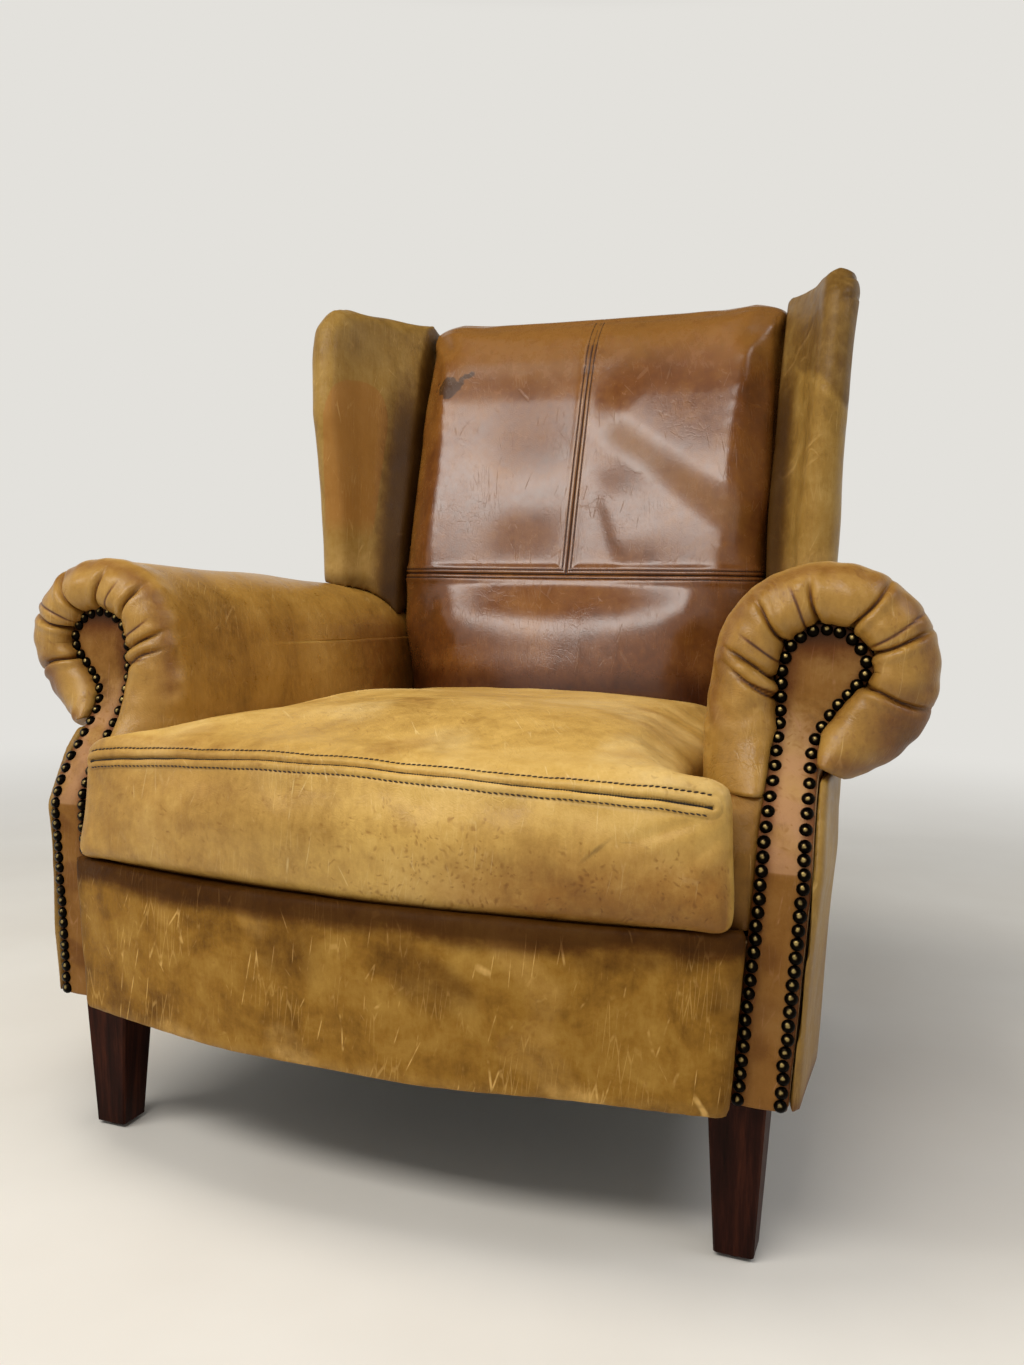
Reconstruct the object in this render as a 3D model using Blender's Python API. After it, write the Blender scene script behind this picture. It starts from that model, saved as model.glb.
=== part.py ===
"""Wing-backed club chair with rolled arms, upholstered in leather over a timber frame.

Metres, +Z up, the front of the chair faces -Y. Left and right are as seen from the front.
Inside this file y = 0 is the front face of the front feet, and the root empty
moves the whole chair so that its footprint is centred on the origin.
"""

import math

import bmesh
import bpy
from mathutils import Vector

# Clearances between touching pieces
FIT = 0.0004
SOFT_FIT = 0.0014

# Heights from the floor
UNDERSIDE = 0.150
LEATHER_HEM = 0.146
RAIL_TOP = 0.285
CUSHION_EDGE = 0.420
CUSHION_CROWN = 0.030

# Feet, glides and bolts
FRONT_FOOT_X = 0.330
FRONT_FOOT_TOP = 0.051
FRONT_FOOT_TIP = 0.035
REAR_FOOT_X = 0.293
REAR_FOOT_TOP = 0.040
REAR_FOOT_TIP = 0.032
REAR_FOOT_RAKE = 0.045
REAR_FOOT_INSET = 0.003
FOOT_CHAMFER = 0.002
GLIDE_RADIUS = 0.011
GLIDE_HEIGHT = 0.004
BOLT_RADIUS = 0.004
BOLT_IN_FOOT = 0.030
BOLT_IN_POST = 0.035
BOLT_SIDES = 10

# Arm fronts: the keyhole outline is the line of the nails
NAIL_INNER_FOOT = 0.332
NAIL_INNER_KNEE = 0.3465
NAIL_OUTER_FOOT = 0.367
NAIL_OUTER_KNEE = 0.380
NAIL_OUTER_NECK = 0.377
FACING_MARGIN = 0.0065
FACING_Y = -0.018
FACING_LEAN = 0.076
FACING_THICKNESS = 0.006
POST_DEPTH = 0.035
KNEE_Z = 0.345
NECK_Z = 0.440
LEAN_END_Z = 0.480
HEAD_X = 0.3835
HEAD_Z = 0.510
HEAD_RADIUS = 0.0355

# Arm rolls
ROLL_X = 0.385
ROLL_Z = 0.511
ROLL_RADIUS = 0.092
ROLL_INNER_REACH = 0.095
ROLL_REAR_RADIUS = 0.079
ROLL_REAR_DROP = 0.006
ROLL_LIP_ANGLE = -76
LIP_BELOW_NECK = 0.008
ARM_TOE_IN = 0.036
TOE_START_Y = 0.102
TOE_END_Y = 0.500
BAND_BULGE = 0.024
BAND_BACK_Y = 0.075
ARM_SEAM_Z = 0.405
PATCH_INNER_X = 0.297
PATCH_REAR_INNER_X = 0.2835
PATCH_BACK_Y = 0.040
PATCH_BULGE = 0.0055
ARM_RAIL_SIZE = 0.046
ARM_RAIL_CHAMFER = 0.006
OUTSIDE_ARM_THICKNESS = 0.010
PLEAT_ANGLES = (170, 137, 95, 54, 21, -22)
PLEAT_HALF_ANGLE = 5
PLEAT_DEPTH = 0.010

# Nail trim
NAIL_PITCH = 0.0116
NAIL_HALF_WIDTH = 0.0054
NAIL_HEIGHT = 0.0046
NAIL_SEAT = 0.0005

# Seat frame
FRONT_RAIL_Y = -0.020
RAIL_THICKNESS = 0.026
SEAT_BOW = 0.044
BORDER_THICKNESS = 0.019
BORDER_BULGE = 0.010
SIDE_RAIL_THICKNESS = 0.0215
BLOCK_REACH = 0.075
BLOCK_HEIGHT = 0.045
WEB_THICKNESS = 0.0018
SEAT_WEB_WIDTH = 0.058
WEB_GAP = 0.0003
DECK_THICKNESS = 0.007
DUST_COVER_THICKNESS = 0.0012

# Back frame
POST_INNER_X = 0.270
POST_WIDTH = 0.0455
BACK_POST_Y = 0.580
BACK_POST_DEPTH = 0.040
BACK_BEND_Z = 0.400
BACK_SLOPE = 0.200
BACK_POST_TOP = 0.940
TOP_RAIL_HEIGHT = 0.045
LUMBAR_RAIL_Z = 0.330
LUMBAR_RAIL_HEIGHT = 0.050
BACK_WEB_WIDTH = 0.070
OUTSIDE_BACK_THICKNESS = 0.009
OUTSIDE_BACK_LAP = 0.020
OUTSIDE_BACK_INSET = 0.003

# Inside back
BACK_PILLOW = 0.020
BACK_SEAM_Z = 0.600
BACK_SEAM_INSET = 0.010
BACK_TOP_INSET = 0.003
BACK_TOP_PAD = 0.045

# Wings
WING_BOARD_THICKNESS = 0.018
WING_FLARE = 0.050
WING_FLARE_RISE = 0.195
WING_FRONT_Y = 0.452
WING_ROLL = 0.026
WING_WRAP = 0.022
WING_TOP_PAD = 0.039
WING_CORNER_RADIUS = 0.049
WING_INNER_PAD = 0.018
WING_SKIN = 0.008
BOARD_EDGE_FIT = 0.0025
FOOT_LIFT = 0.016

# Seat cushion
CUSHION_HALF_WIDTH = 0.328
CUSHION_FRONT_Y = -0.058
CUSHION_BOW = 0.034
EAR_BACK_Y = -0.0245
CUSHION_REAR_GAP = 0.006

# Where the cushion and the inside back have their sections, from edge to edge
CUSHION_SHARES = (-1, -0.95, -0.84, -0.6, -0.3, 0, 0.3, 0.6, 0.84, 0.95, 1)

COLLECTION = "club_chair"
SIDES = ((-1, "left"), (1, "right"))

CLOTH_LEVEL = RAIL_TOP + 2 * (WEB_GAP + WEB_THICKNESS) + WEB_GAP
DECK_TOP = CLOTH_LEVEL + DECK_THICKNESS
LEATHER_BOTTOM = DECK_TOP + FIT
POST_BACK_Y = FACING_Y + FACING_THICKNESS + FIT + POST_DEPTH
POST_OUTER_X = POST_INNER_X + POST_WIDTH
OUTSIDE_BACK_TOP = BACK_POST_TOP + OUTSIDE_BACK_LAP
WING_TOP = BACK_POST_TOP + WING_TOP_PAD


# Outlines that several pieces share

def mix(a, b, t):
    return a + (b - a) * t


def clamp(t):
    return max(0.0, min(1.0, t))


def ease(t):
    t = clamp(t)
    return t * t * (3 - 2 * t)


def through(table, z):
    """Value at z on the straight lines through (z, value) pairs."""
    if z <= table[0][0]:
        return table[0][1]
    for (z0, a), (z1, b) in zip(table, table[1:]):
        if z <= z1:
            return mix(a, b, (z - z0) / (z1 - z0))
    return table[-1][1]


def toe(y):
    """The arms close in towards the back by this much at depth y."""
    return -ARM_TOE_IN * clamp((y - TOE_START_Y) / (TOE_END_Y - TOE_START_Y))


def facing_y(z):
    """Front of the arm facing: upright to the knee, then leaning back to the head."""
    return FACING_Y + FACING_LEAN * ease((z - KNEE_Z) / (LEAN_END_Z - KNEE_Z))


NECK_FLARE = [(0.0, 0.0), (0.22, 0.06), (0.5, 0.34), (0.77, 0.72), (1.0, 1.0)]


def nail_inner(z, margin=0.0):
    """Inner side of the keyhole outline, grown by margin."""
    if z > HEAD_Z:
        reach = HEAD_RADIUS + margin
        return HEAD_X - math.sqrt(max(0.0, reach * reach - (z - HEAD_Z) ** 2))
    neck = HEAD_X - HEAD_RADIUS
    line = [(LEATHER_HEM, NAIL_INNER_FOOT), (KNEE_Z, NAIL_INNER_KNEE), (HEAD_Z, neck)]
    return through(line, z) - margin


def nail_outer(z, margin=0.0):
    """Outer side of the keyhole outline, grown by margin."""
    if z > HEAD_Z:
        reach = HEAD_RADIUS + margin
        return HEAD_X + math.sqrt(max(0.0, reach * reach - (z - HEAD_Z) ** 2))
    line = [(LEATHER_HEM, NAIL_OUTER_FOOT), (KNEE_Z, NAIL_OUTER_KNEE), (NECK_Z, NAIL_OUTER_NECK)]
    flare = through(NECK_FLARE, (z - NECK_Z) / (HEAD_Z - NECK_Z))
    return mix(through(line, z), HEAD_X + HEAD_RADIUS, flare) + margin


def neck_levels():
    """Heights of the corners in the flare from the neck to the head."""
    return [mix(NECK_Z, HEAD_Z, share) for share, _ in NECK_FLARE]


def keyhole_levels():
    """Heights at which the facing and the front post have a section."""
    low = [0.25, KNEE_Z]
    lean = [KNEE_Z + 0.01 * step for step in range(1, 9)]
    high = neck_levels()[:-1]
    reach = HEAD_RADIUS + FACING_MARGIN
    arc = [HEAD_Z + reach * math.sin(math.radians(a)) for a in (0, 18, 36, 52, 66, 79)]
    return low + lean + high + arc


FACING_LINE = [(LEATHER_HEM, FACING_Y)] + [(z, facing_y(z)) for z in keyhole_levels()]
INNER_FACE = [(0.2972, 0.292), (0.36, 0.283), (0.40, 0.279), (0.43, 0.278), (0.47, 0.2825), (0.511, 0.290)]


def roll_at(y):
    """Centre x, centre z and outer radius of the arm roll at depth y."""
    share = clamp((y - BAND_BACK_Y) / (TOE_END_Y - BAND_BACK_Y))
    return ROLL_X + toe(y), ROLL_Z - ROLL_REAR_DROP * share, mix(ROLL_RADIUS, ROLL_REAR_RADIUS, share)


def roll_point(angle, y):
    """A point (x, z) on the outside of the roll; 0 degrees points outwards, 90 up."""
    x, z, radius = roll_at(y)
    a = math.radians(angle)
    reach = radius if math.cos(a) > 0 else ROLL_INNER_REACH
    return x + reach * math.cos(a), z + radius * math.sin(a)


def roll_top(x, y):
    """Height of the arm's upper surface at a place in plan, with a soft clearance."""
    cx, cz, radius = roll_at(y)
    reach = radius if x > cx else ROLL_INNER_REACH
    return cz + radius * math.sqrt(max(0.0, 1 - ((x - cx) / reach) ** 2)) + SOFT_FIT


def back_front(z):
    """Front face of the back posts."""
    return BACK_POST_Y + BACK_SLOPE * max(0.0, z - BACK_BEND_Z)


def back_rear(z):
    return back_front(z) + BACK_POST_DEPTH


def back_edge(z):
    """Half width of the inside back: between the arms low down, between the wings above."""
    arm_line = through(INNER_FACE, z) - ARM_TOE_IN - SOFT_FIT
    if z <= INNER_FACE[-1][0]:
        return arm_line
    if z <= BACK_SEAM_Z:
        share = (z - INNER_FACE[-1][0]) / (BACK_SEAM_Z - INNER_FACE[-1][0])
        return mix(arm_line, POST_INNER_X - BACK_SEAM_INSET, share)
    return POST_INNER_X - mix(BACK_SEAM_INSET, BACK_TOP_INSET, clamp(back_share(z)))


def back_share(z):
    """Height above the back's cross seam, as a share of the way to the top of the posts."""
    return (z - BACK_SEAM_Z) / (BACK_POST_TOP - BACK_SEAM_Z)


LOIN_PAD = [(0.29, 0.100), (0.36, 0.106), (0.43, 0.118), (0.47, 0.122), (0.54, 0.108), (BACK_SEAM_Z, 0.088)]
UPPER_PAD = [(0.0, 0.088), (0.24, 0.080), (0.59, 0.068), (0.88, 0.060), (1.04, 0.048)]
LOIN_HOLLOW = [(0.29, 0.030), (0.45, 0.050), (0.54, 0.020), (BACK_SEAM_Z, -0.012)]


def back_surface(x, z):
    """Front of the inside back: full at the loins, hollow above, rounded at its edges."""
    t = min(1.0, abs(x) / back_edge(z))
    pillow = BACK_PILLOW * ease((t - 0.84) / 0.16)
    if z <= BACK_SEAM_Z:
        pad, hollow = through(LOIN_PAD, z), through(LOIN_HOLLOW, z)
    else:
        pad = through(UPPER_PAD, back_share(z))
        hollow = LOIN_HOLLOW[-1][1] - 0.008 * clamp(back_share(z))
    return back_front(z) - pad + hollow * t * t + pillow


def bow(t):
    """Forward curve of the seat front; t runs from -1 to 1 across the chair."""
    return 1 - t * t


def side_rail_inner(y):
    return nail_outer(UNDERSIDE, FACING_MARGIN) + toe(y) - FIT - SIDE_RAIL_THICKNESS


# Building tools

def material(name, colour, roughness, metallic=0.0):
    made = bpy.data.materials.new(name)
    made.use_nodes = True
    shader = made.node_tree.nodes["Principled BSDF"]
    shader.inputs["Base Color"].default_value = (*colour, 1.0)
    shader.inputs["Roughness"].default_value = roughness
    shader.inputs["Metallic"].default_value = metallic
    made.diffuse_color = (*colour, 1.0)
    return made


def add_object(name, bm, surface, chair):
    bmesh.ops.recalc_face_normals(bm, faces=bm.faces)
    mesh = bpy.data.meshes.new(name)
    bm.to_mesh(mesh)
    bm.free()
    mesh.materials.append(surface)
    made = bpy.data.objects.new(name, mesh)
    bpy.data.collections[COLLECTION].objects.link(made)
    made.parent = chair
    return made


def loft(name, loops, surface, chair, side=1, flat_ends=False, smooth_angle=0):
    """A closed solid through loops of equally many points, mirrored for the left side."""
    bm = bmesh.new()
    rings = [[bm.verts.new((side * p[0], p[1], p[2])) for p in loop] for loop in loops]
    count = len(rings[0])
    for low, high in zip(rings, rings[1:]):
        for i in range(count):
            j = (i + 1) % count
            bm.faces.new((low[i], low[j], high[j], high[i]))
    for ring in (rings[0], rings[-1]):
        if flat_ends:
            bm.faces.new(ring)
            continue
        for i in range(count // 2 - 1):
            bm.faces.new((ring[i], ring[i + 1], ring[count - 2 - i], ring[count - 1 - i]))
    made = add_object(name, bm, surface, chair)
    if smooth_angle:
        made.data.shade_smooth()
        made.data.set_sharp_from_angle(angle=math.radians(smooth_angle))
    return made


def plan(x0, x1, y0, y1, z):
    """A rectangle in plan: one section of a loft that climbs."""
    return [(x0, y0, z), (x1, y0, z), (x1, y1, z), (x0, y1, z)]


def chamfered(half, cut):
    """An octagon: a square of the given half width with its corners cut."""
    return [
        (-half + cut, -half), (half - cut, -half), (half, -half + cut), (half, half - cut),
        (half - cut, half), (-half + cut, half), (-half, half - cut), (-half, -half + cut),
    ]


def box(name, low, high, surface, chair):
    """A squared timber between two corners, placed by its centre."""
    bm = bmesh.new()
    bmesh.ops.create_cube(bm, size=1.0)
    bmesh.ops.scale(bm, vec=Vector(high) - Vector(low), verts=bm.verts)
    made = add_object(name, bm, surface, chair)
    made.location = (Vector(low) + Vector(high)) / 2
    return made


def cylinder(name, radius, z0, z1, at, surface, chair, sides=16):
    bm = bmesh.new()
    bmesh.ops.create_cone(
        bm, cap_ends=True, segments=sides, radius1=radius, radius2=radius, depth=z1 - z0
    )
    made = add_object(name, bm, surface, chair)
    made.location = (at[0], at[1], (z0 + z1) / 2)
    return made


def cut(target, cutter):
    cutter.hide_render = True
    cutter.display_type = "WIRE"
    bpy.data.collections[COLLECTION].objects.unlink(cutter)
    bpy.data.collections["cutters"].objects.link(cutter)
    boolean = target.modifiers.new(cutter.name, "BOOLEAN")
    boolean.operation = "DIFFERENCE"
    boolean.object = cutter


# Feet, with their bolts into the posts and the glides under them

def bolt_place(end, side):
    """A hanger bolt stands where its foot and its post overlap in plan."""
    if end == "rear":
        return side * REAR_FOOT_X, BACK_POST_Y + BACK_POST_DEPTH / 2 - REAR_FOOT_INSET
    outer_limit = FRONT_FOOT_X + FRONT_FOOT_TOP / 2 - 2.2 * BOLT_RADIUS
    post_middle = (nail_inner(UNDERSIDE) + nail_outer(UNDERSIDE)) / 2
    return side * min(post_middle, outer_limit), POST_BACK_Y - POST_DEPTH / 2


def add_foot(end, side, word, chair, mats):
    if end == "front":
        x, y, top, tip, rake = FRONT_FOOT_X, FRONT_FOOT_TIP / 2, FRONT_FOOT_TOP, FRONT_FOOT_TIP, 0.0
    else:
        y = BACK_POST_Y + BACK_POST_DEPTH / 2 - REAR_FOOT_INSET
        x, top, tip, rake = REAR_FOOT_X, REAR_FOOT_TOP, REAR_FOOT_TIP, REAR_FOOT_RAKE
    x *= side
    name = end + "_" + word
    loops = []
    for size, z, shift in ((tip, GLIDE_HEIGHT + FIT, rake), (top, UNDERSIDE - FIT, 0.0)):
        outline = chamfered(size / 2, FOOT_CHAMFER)
        loops.append([(x + px, y + shift + py, z) for px, py in outline])
    foot = loft("foot_" + name, loops, mats["foot"], chair, flat_ends=True)
    hole = cylinder(
        "bolt_hole_" + name, BOLT_RADIUS + FIT, UNDERSIDE - BOLT_IN_FOOT - FIT,
        UNDERSIDE + BOLT_IN_POST + FIT, bolt_place(end, side), mats["steel"], chair, BOLT_SIDES,
    )
    cut(foot, hole)
    cylinder(
        "hanger_bolt_" + name, BOLT_RADIUS, UNDERSIDE - BOLT_IN_FOOT, UNDERSIDE + BOLT_IN_POST,
        bolt_place(end, side), mats["steel"], chair, BOLT_SIDES,
    )
    cylinder("glide_" + name, GLIDE_RADIUS, 0.0, GLIDE_HEIGHT, (x, y + rake), mats["glide"], chair)
    return hole


def bore_post(post, hole):
    boolean = post.modifiers.new(hole.name, "BOOLEAN")
    boolean.operation = "DIFFERENCE"
    boolean.object = hole


# Timber frame

def add_front_post(side, word, hole, chair, mats):
    rows = []
    for z in [UNDERSIDE] + keyhole_levels():
        y0 = facing_y(z) + FACING_THICKNESS + FIT
        rows.append(plan(nail_inner(z, FACING_MARGIN), nail_outer(z, FACING_MARGIN), y0, y0 + POST_DEPTH, z))
    bore_post(loft("front_post_" + word, rows, mats["timber"], chair, side), hole)


def add_back_post(side, word, hole, chair, mats):
    rows = []
    for z in (UNDERSIDE, BACK_BEND_Z, BACK_POST_TOP):
        rows.append(plan(POST_INNER_X, POST_OUTER_X, back_front(z), back_rear(z), z))
    bore_post(loft("back_post_" + word, rows, mats["timber"], chair, side), hole)


def add_seat_rails(chair, mats):
    """The front rail bows forwards between the posts; the rear rail is straight."""
    loops = []
    for step in range(-6, 7):
        t = step / 6
        y = FRONT_RAIL_Y - SEAT_BOW * bow(t)
        low = t * (nail_inner(UNDERSIDE, FACING_MARGIN) - FIT)
        high = t * (nail_inner(RAIL_TOP, FACING_MARGIN) - FIT)
        loops.append([
            (low, y, UNDERSIDE), (high, y, RAIL_TOP),
            (high, y + RAIL_THICKNESS, RAIL_TOP), (low, y + RAIL_THICKNESS, UNDERSIDE),
        ])
    loft("front_rail", loops, mats["timber"], chair)
    inner = POST_INNER_X - FIT
    y = rear_rail_y()
    box("rear_rail", (-inner, y, UNDERSIDE), (inner, y + RAIL_THICKNESS, RAIL_TOP), mats["timber"], chair)


def rear_rail_y():
    return BACK_POST_Y + (BACK_POST_DEPTH - RAIL_THICKNESS) / 2


def add_side_rail(side, word, chair, mats):
    """Toed in from the front post to the outer side of the back post."""
    loops = []
    for y in (POST_BACK_Y + FIT, TOE_START_Y, TOE_END_Y, back_rear(UNDERSIDE) - FIT):
        inner = side_rail_inner(y)
        low = nail_outer(UNDERSIDE, FACING_MARGIN) + toe(y) - FIT
        high = nail_outer(RAIL_TOP, FACING_MARGIN) + toe(y) - FIT
        loops.append([(inner, y, UNDERSIDE), (low, y, UNDERSIDE), (high, y, RAIL_TOP), (inner, y, RAIL_TOP)])
    loft("side_rail_" + word, loops, mats["timber"], chair, side)


def add_corner_blocks(side, word, chair, mats):
    """Glued blocks with a clipped corner, in the inner corners of the seat frame."""
    corner = nail_inner(UNDERSIDE, FACING_MARGIN) - 3 * FIT
    reach_y = POST_BACK_Y + BLOCK_REACH
    far = corner - BLOCK_REACH
    half = nail_inner(UNDERSIDE, FACING_MARGIN)
    near_y = FRONT_RAIL_Y - SEAT_BOW * bow(corner / half) + RAIL_THICKNESS + 2 * FIT
    far_y = FRONT_RAIL_Y - SEAT_BOW * bow(far / half) + RAIL_THICKNESS + 2 * FIT
    outline = [
        (far, far_y), (corner, near_y), (corner, POST_BACK_Y + 2 * FIT),
        (side_rail_inner(POST_BACK_Y) - FIT, POST_BACK_Y + 2 * FIT),
        (side_rail_inner(reach_y) - FIT, reach_y),
    ]
    add_block("corner_block_front_" + word, outline, side, chair, mats)
    corner = POST_INNER_X - FIT
    reach_y = BACK_POST_Y - BLOCK_REACH
    outline = [
        (corner - BLOCK_REACH, rear_rail_y() - FIT), (corner, rear_rail_y() - FIT),
        (corner, BACK_POST_Y - FIT), (side_rail_inner(BACK_POST_Y) - FIT, BACK_POST_Y - FIT),
        (side_rail_inner(reach_y) - FIT, reach_y),
    ]
    add_block("corner_block_rear_" + word, outline, side, chair, mats)


def add_block(name, outline, side, chair, mats):
    loops = [[(x, y, z) for x, y in outline] for z in (UNDERSIDE, UNDERSIDE + BLOCK_HEIGHT)]
    loft(name, loops, mats["timber"], chair, side, flat_ends=True)


def add_arm_rail(side, word, chair, mats):
    """The timber that the arm roll is built round, from the front post to the back post."""
    half = ARM_RAIL_SIZE / 2
    ends = (
        (HEAD_X, facing_y(HEAD_Z) + FACING_THICKNESS + POST_DEPTH + 3 * FIT),
        (POST_OUTER_X + FIT + half, back_front(HEAD_Z) + BACK_POST_DEPTH / 2),
    )
    outline = chamfered(half, ARM_RAIL_CHAMFER)
    loops = [[(x + px, y, HEAD_Z + pz) for px, pz in outline] for x, y in ends]
    loft("arm_rail_" + word, loops, mats["timber"], chair, side, flat_ends=True)


def add_back_rails(chair, mats):
    inner = POST_INNER_X - FIT
    top_low = BACK_POST_TOP - TOP_RAIL_HEIGHT
    lumbar_high = LUMBAR_RAIL_Z + LUMBAR_RAIL_HEIGHT
    for name, low, high in (
        ("top_rail", top_low, BACK_POST_TOP), ("lumbar_rail", LUMBAR_RAIL_Z, lumbar_high),
    ):
        section = [
            (back_front(low), low), (back_front(high), high),
            (back_front(high) + RAIL_THICKNESS, high), (back_front(low) + RAIL_THICKNESS, low),
        ]
        loops = [[(x, y, z) for y, z in section] for x in (-inner, inner)]
        loft(name, loops, mats["timber"], chair)


# Webbing, deck and dust cover

def add_webbing(chair, mats):
    """Jute webs: four from front to back, three across them, and three up the back."""
    low = RAIL_TOP + WEB_GAP
    high = low + WEB_THICKNESS + WEB_GAP
    half = SEAT_WEB_WIDTH / 2
    spread = nail_inner(RAIL_TOP, FACING_MARGIN)
    for number in range(4):
        x = mix(-0.66, 0.66, number / 3) * spread
        front = FRONT_RAIL_Y - SEAT_BOW * bow((abs(x) + half) / spread) + RAIL_THICKNESS / 4
        rear = rear_rail_y() + RAIL_THICKNESS * 0.75
        box(
            f"seat_web_{number + 1}", (x - half, front, low), (x + half, rear, low + WEB_THICKNESS),
            mats["webbing"], chair,
        )
    for number in range(3):
        y = mix(POST_BACK_Y, BACK_POST_Y, (number + 1) / 4)
        reach = side_rail_inner(y + half) + SIDE_RAIL_THICKNESS * 0.6
        box(
            f"seat_cross_web_{number + 1}", (-reach, y - half, high), (reach, y + half, high + WEB_THICKNESS),
            mats["webbing"], chair,
        )
    half = BACK_WEB_WIDTH / 2
    for number in range(3):
        x = mix(-0.6, 0.6, number / 2) * POST_INNER_X
        loops = []
        for z in (LUMBAR_RAIL_Z + 0.01, BACK_BEND_Z, BACK_POST_TOP - 0.01):
            y = back_front(z) - WEB_GAP
            loops.append(plan(x - half, x + half, y - WEB_THICKNESS, y, z))
        loft(f"back_web_{number + 1}", loops, mats["webbing"], chair)


def add_deck(chair, mats):
    """Padded hessian over the webs, and thin black cloth closing the frame underneath."""
    foot_x = FRONT_FOOT_X - FRONT_FOOT_TOP / 2 - 0.006
    foot_y = FRONT_FOOT_TIP / 2 + FRONT_FOOT_TOP / 2 + 0.006
    rear_foot_y = BACK_POST_Y + (BACK_POST_DEPTH - REAR_FOOT_TOP) / 2 - REAR_FOOT_INSET - 0.006
    rear_foot_x = REAR_FOOT_X - REAR_FOOT_TOP / 2 - 0.006
    step = 0.002
    spread = nail_inner(RAIL_TOP, FACING_MARGIN)
    front_half = spread - FACING_MARGIN
    deck_rows = [
        (front_half, None), (front_half, POST_BACK_Y),
        (side_rail_inner(POST_BACK_Y) + SIDE_RAIL_THICKNESS / 2, POST_BACK_Y + 0.012),
        (side_rail_inner(TOE_START_Y) + SIDE_RAIL_THICKNESS / 2, TOE_START_Y),
        (side_rail_inner(TOE_END_Y) + SIDE_RAIL_THICKNESS / 2, TOE_END_Y),
        (side_rail_inner(TOE_END_Y) + SIDE_RAIL_THICKNESS / 2, BACK_POST_Y - step),
    ]
    add_cloth("seat_deck", deck_rows, CLOTH_LEVEL, DECK_TOP, 0.0015, spread, mats["hessian"], chair)
    wide = SIDE_RAIL_THICKNESS / 2
    cover_rows = [
        (foot_x, None), (foot_x, foot_y), (side_rail_inner(foot_y) + wide, foot_y + step),
        (side_rail_inner(TOE_START_Y) + wide, TOE_START_Y), (side_rail_inner(TOE_END_Y) + wide, TOE_END_Y),
        (side_rail_inner(TOE_END_Y) + wide, rear_foot_y - step), (rear_foot_x, rear_foot_y),
        (rear_foot_x, back_rear(UNDERSIDE) - RAIL_THICKNESS / 2),
    ]
    top = UNDERSIDE - FIT
    add_cloth(
        "dust_cover", cover_rows, top - DUST_COVER_THICKNESS, top, RAIL_THICKNESS / 3, spread,
        mats["dust_cloth"], chair,
    )


def add_cloth(name, rows, z0, z1, front_inset, spread, surface, chair):
    """A flat cloth whose first row follows the bowed front rail."""
    shares = (-1, -0.6, -0.2, 0.2, 0.6, 1)
    loops = []
    for half, y in rows:
        line = []
        for t in shares:
            front = FRONT_RAIL_Y - SEAT_BOW * bow(t * half / spread) + front_inset
            line.append((t * half, front if y is None else y))
        loops.append([(x, py, z1) for x, py in line] + [(x, py, z0) for x, py in reversed(line)])
    loft(name, loops, surface, chair)


# Wings

def wing_levels():
    """Heights at which the straight part of the wing has a section."""
    low, high = BACK_SEAM_Z + 0.04, wing_corner()[1]
    return [mix(low, high, share) for share in (0, 0.23, 0.45, 0.68, 1)]


def board_front_y(z):
    """Front edge of the wing board, with a rounded upper corner."""
    levels = wing_levels()
    line = [(levels[0], 0.014), (levels[1], 0.012), (levels[3], 0.0), (levels[4], 0.010)]
    straight = WING_FRONT_Y + WING_ROLL + through(line, z)
    centre_y, centre_z = wing_corner()
    if z <= centre_z:
        return straight
    return centre_y - math.sqrt(max(0.0, WING_CORNER_RADIUS ** 2 - (z - centre_z) ** 2))


def wing_corner():
    """Centre (y, z) of the board's rounded upper corner."""
    z = WING_TOP - WING_ROLL - WING_CORNER_RADIUS
    return WING_FRONT_Y + WING_ROLL + 0.010 + WING_CORNER_RADIUS, z


def board_inner(y, z):
    """Inner face of the wing board: on the back post at the rear, flaring to the front."""
    flare = WING_FLARE + WING_FLARE_RISE * (z - BACK_SEAM_Z)
    return POST_OUTER_X + FIT + flare * (back_rear(z) - y)


def board_outer(y, z):
    return board_inner(y, z) + WING_BOARD_THICKNESS


def on_roll(x, y, lift=0.0, limit=None):
    """A point of a wing piece's foot, resting on the arm and clear of what stands behind it."""
    z = roll_top(x, y) + lift
    rear = back_rear(z) - FIT if limit is None else limit(z)
    y = min(y, rear)
    return (x, y, roll_top(x, y) + lift)


def add_wing_board(side, word, chair, mats):
    corner_y, corner_z = wing_corner()
    rows = []
    base_z = ROLL_Z + ROLL_REAR_RADIUS
    y0, y1 = board_front_y(base_z), back_rear(base_z) - FIT
    rows.append([
        on_roll(board_inner(y0, base_z), y0), on_roll(board_outer(y0, base_z), y0),
        on_roll(board_outer(y1, base_z), y1), on_roll(board_inner(y1, base_z), y1),
    ])
    heights = wing_levels()
    heights += [corner_z + WING_CORNER_RADIUS * math.sin(math.radians(a)) for a in (30, 55, 75, 90)]
    for z in heights:
        y0, y1 = board_front_y(z), back_rear(z) - FIT
        rows.append([
            (board_inner(y0, z), y0, z), (board_outer(y0, z), y0, z),
            (board_outer(y1, z), y1, z), (board_inner(y1, z), y1, z),
        ])
    loft("wing_board_" + word, rows, mats["timber"], chair, side)


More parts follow.
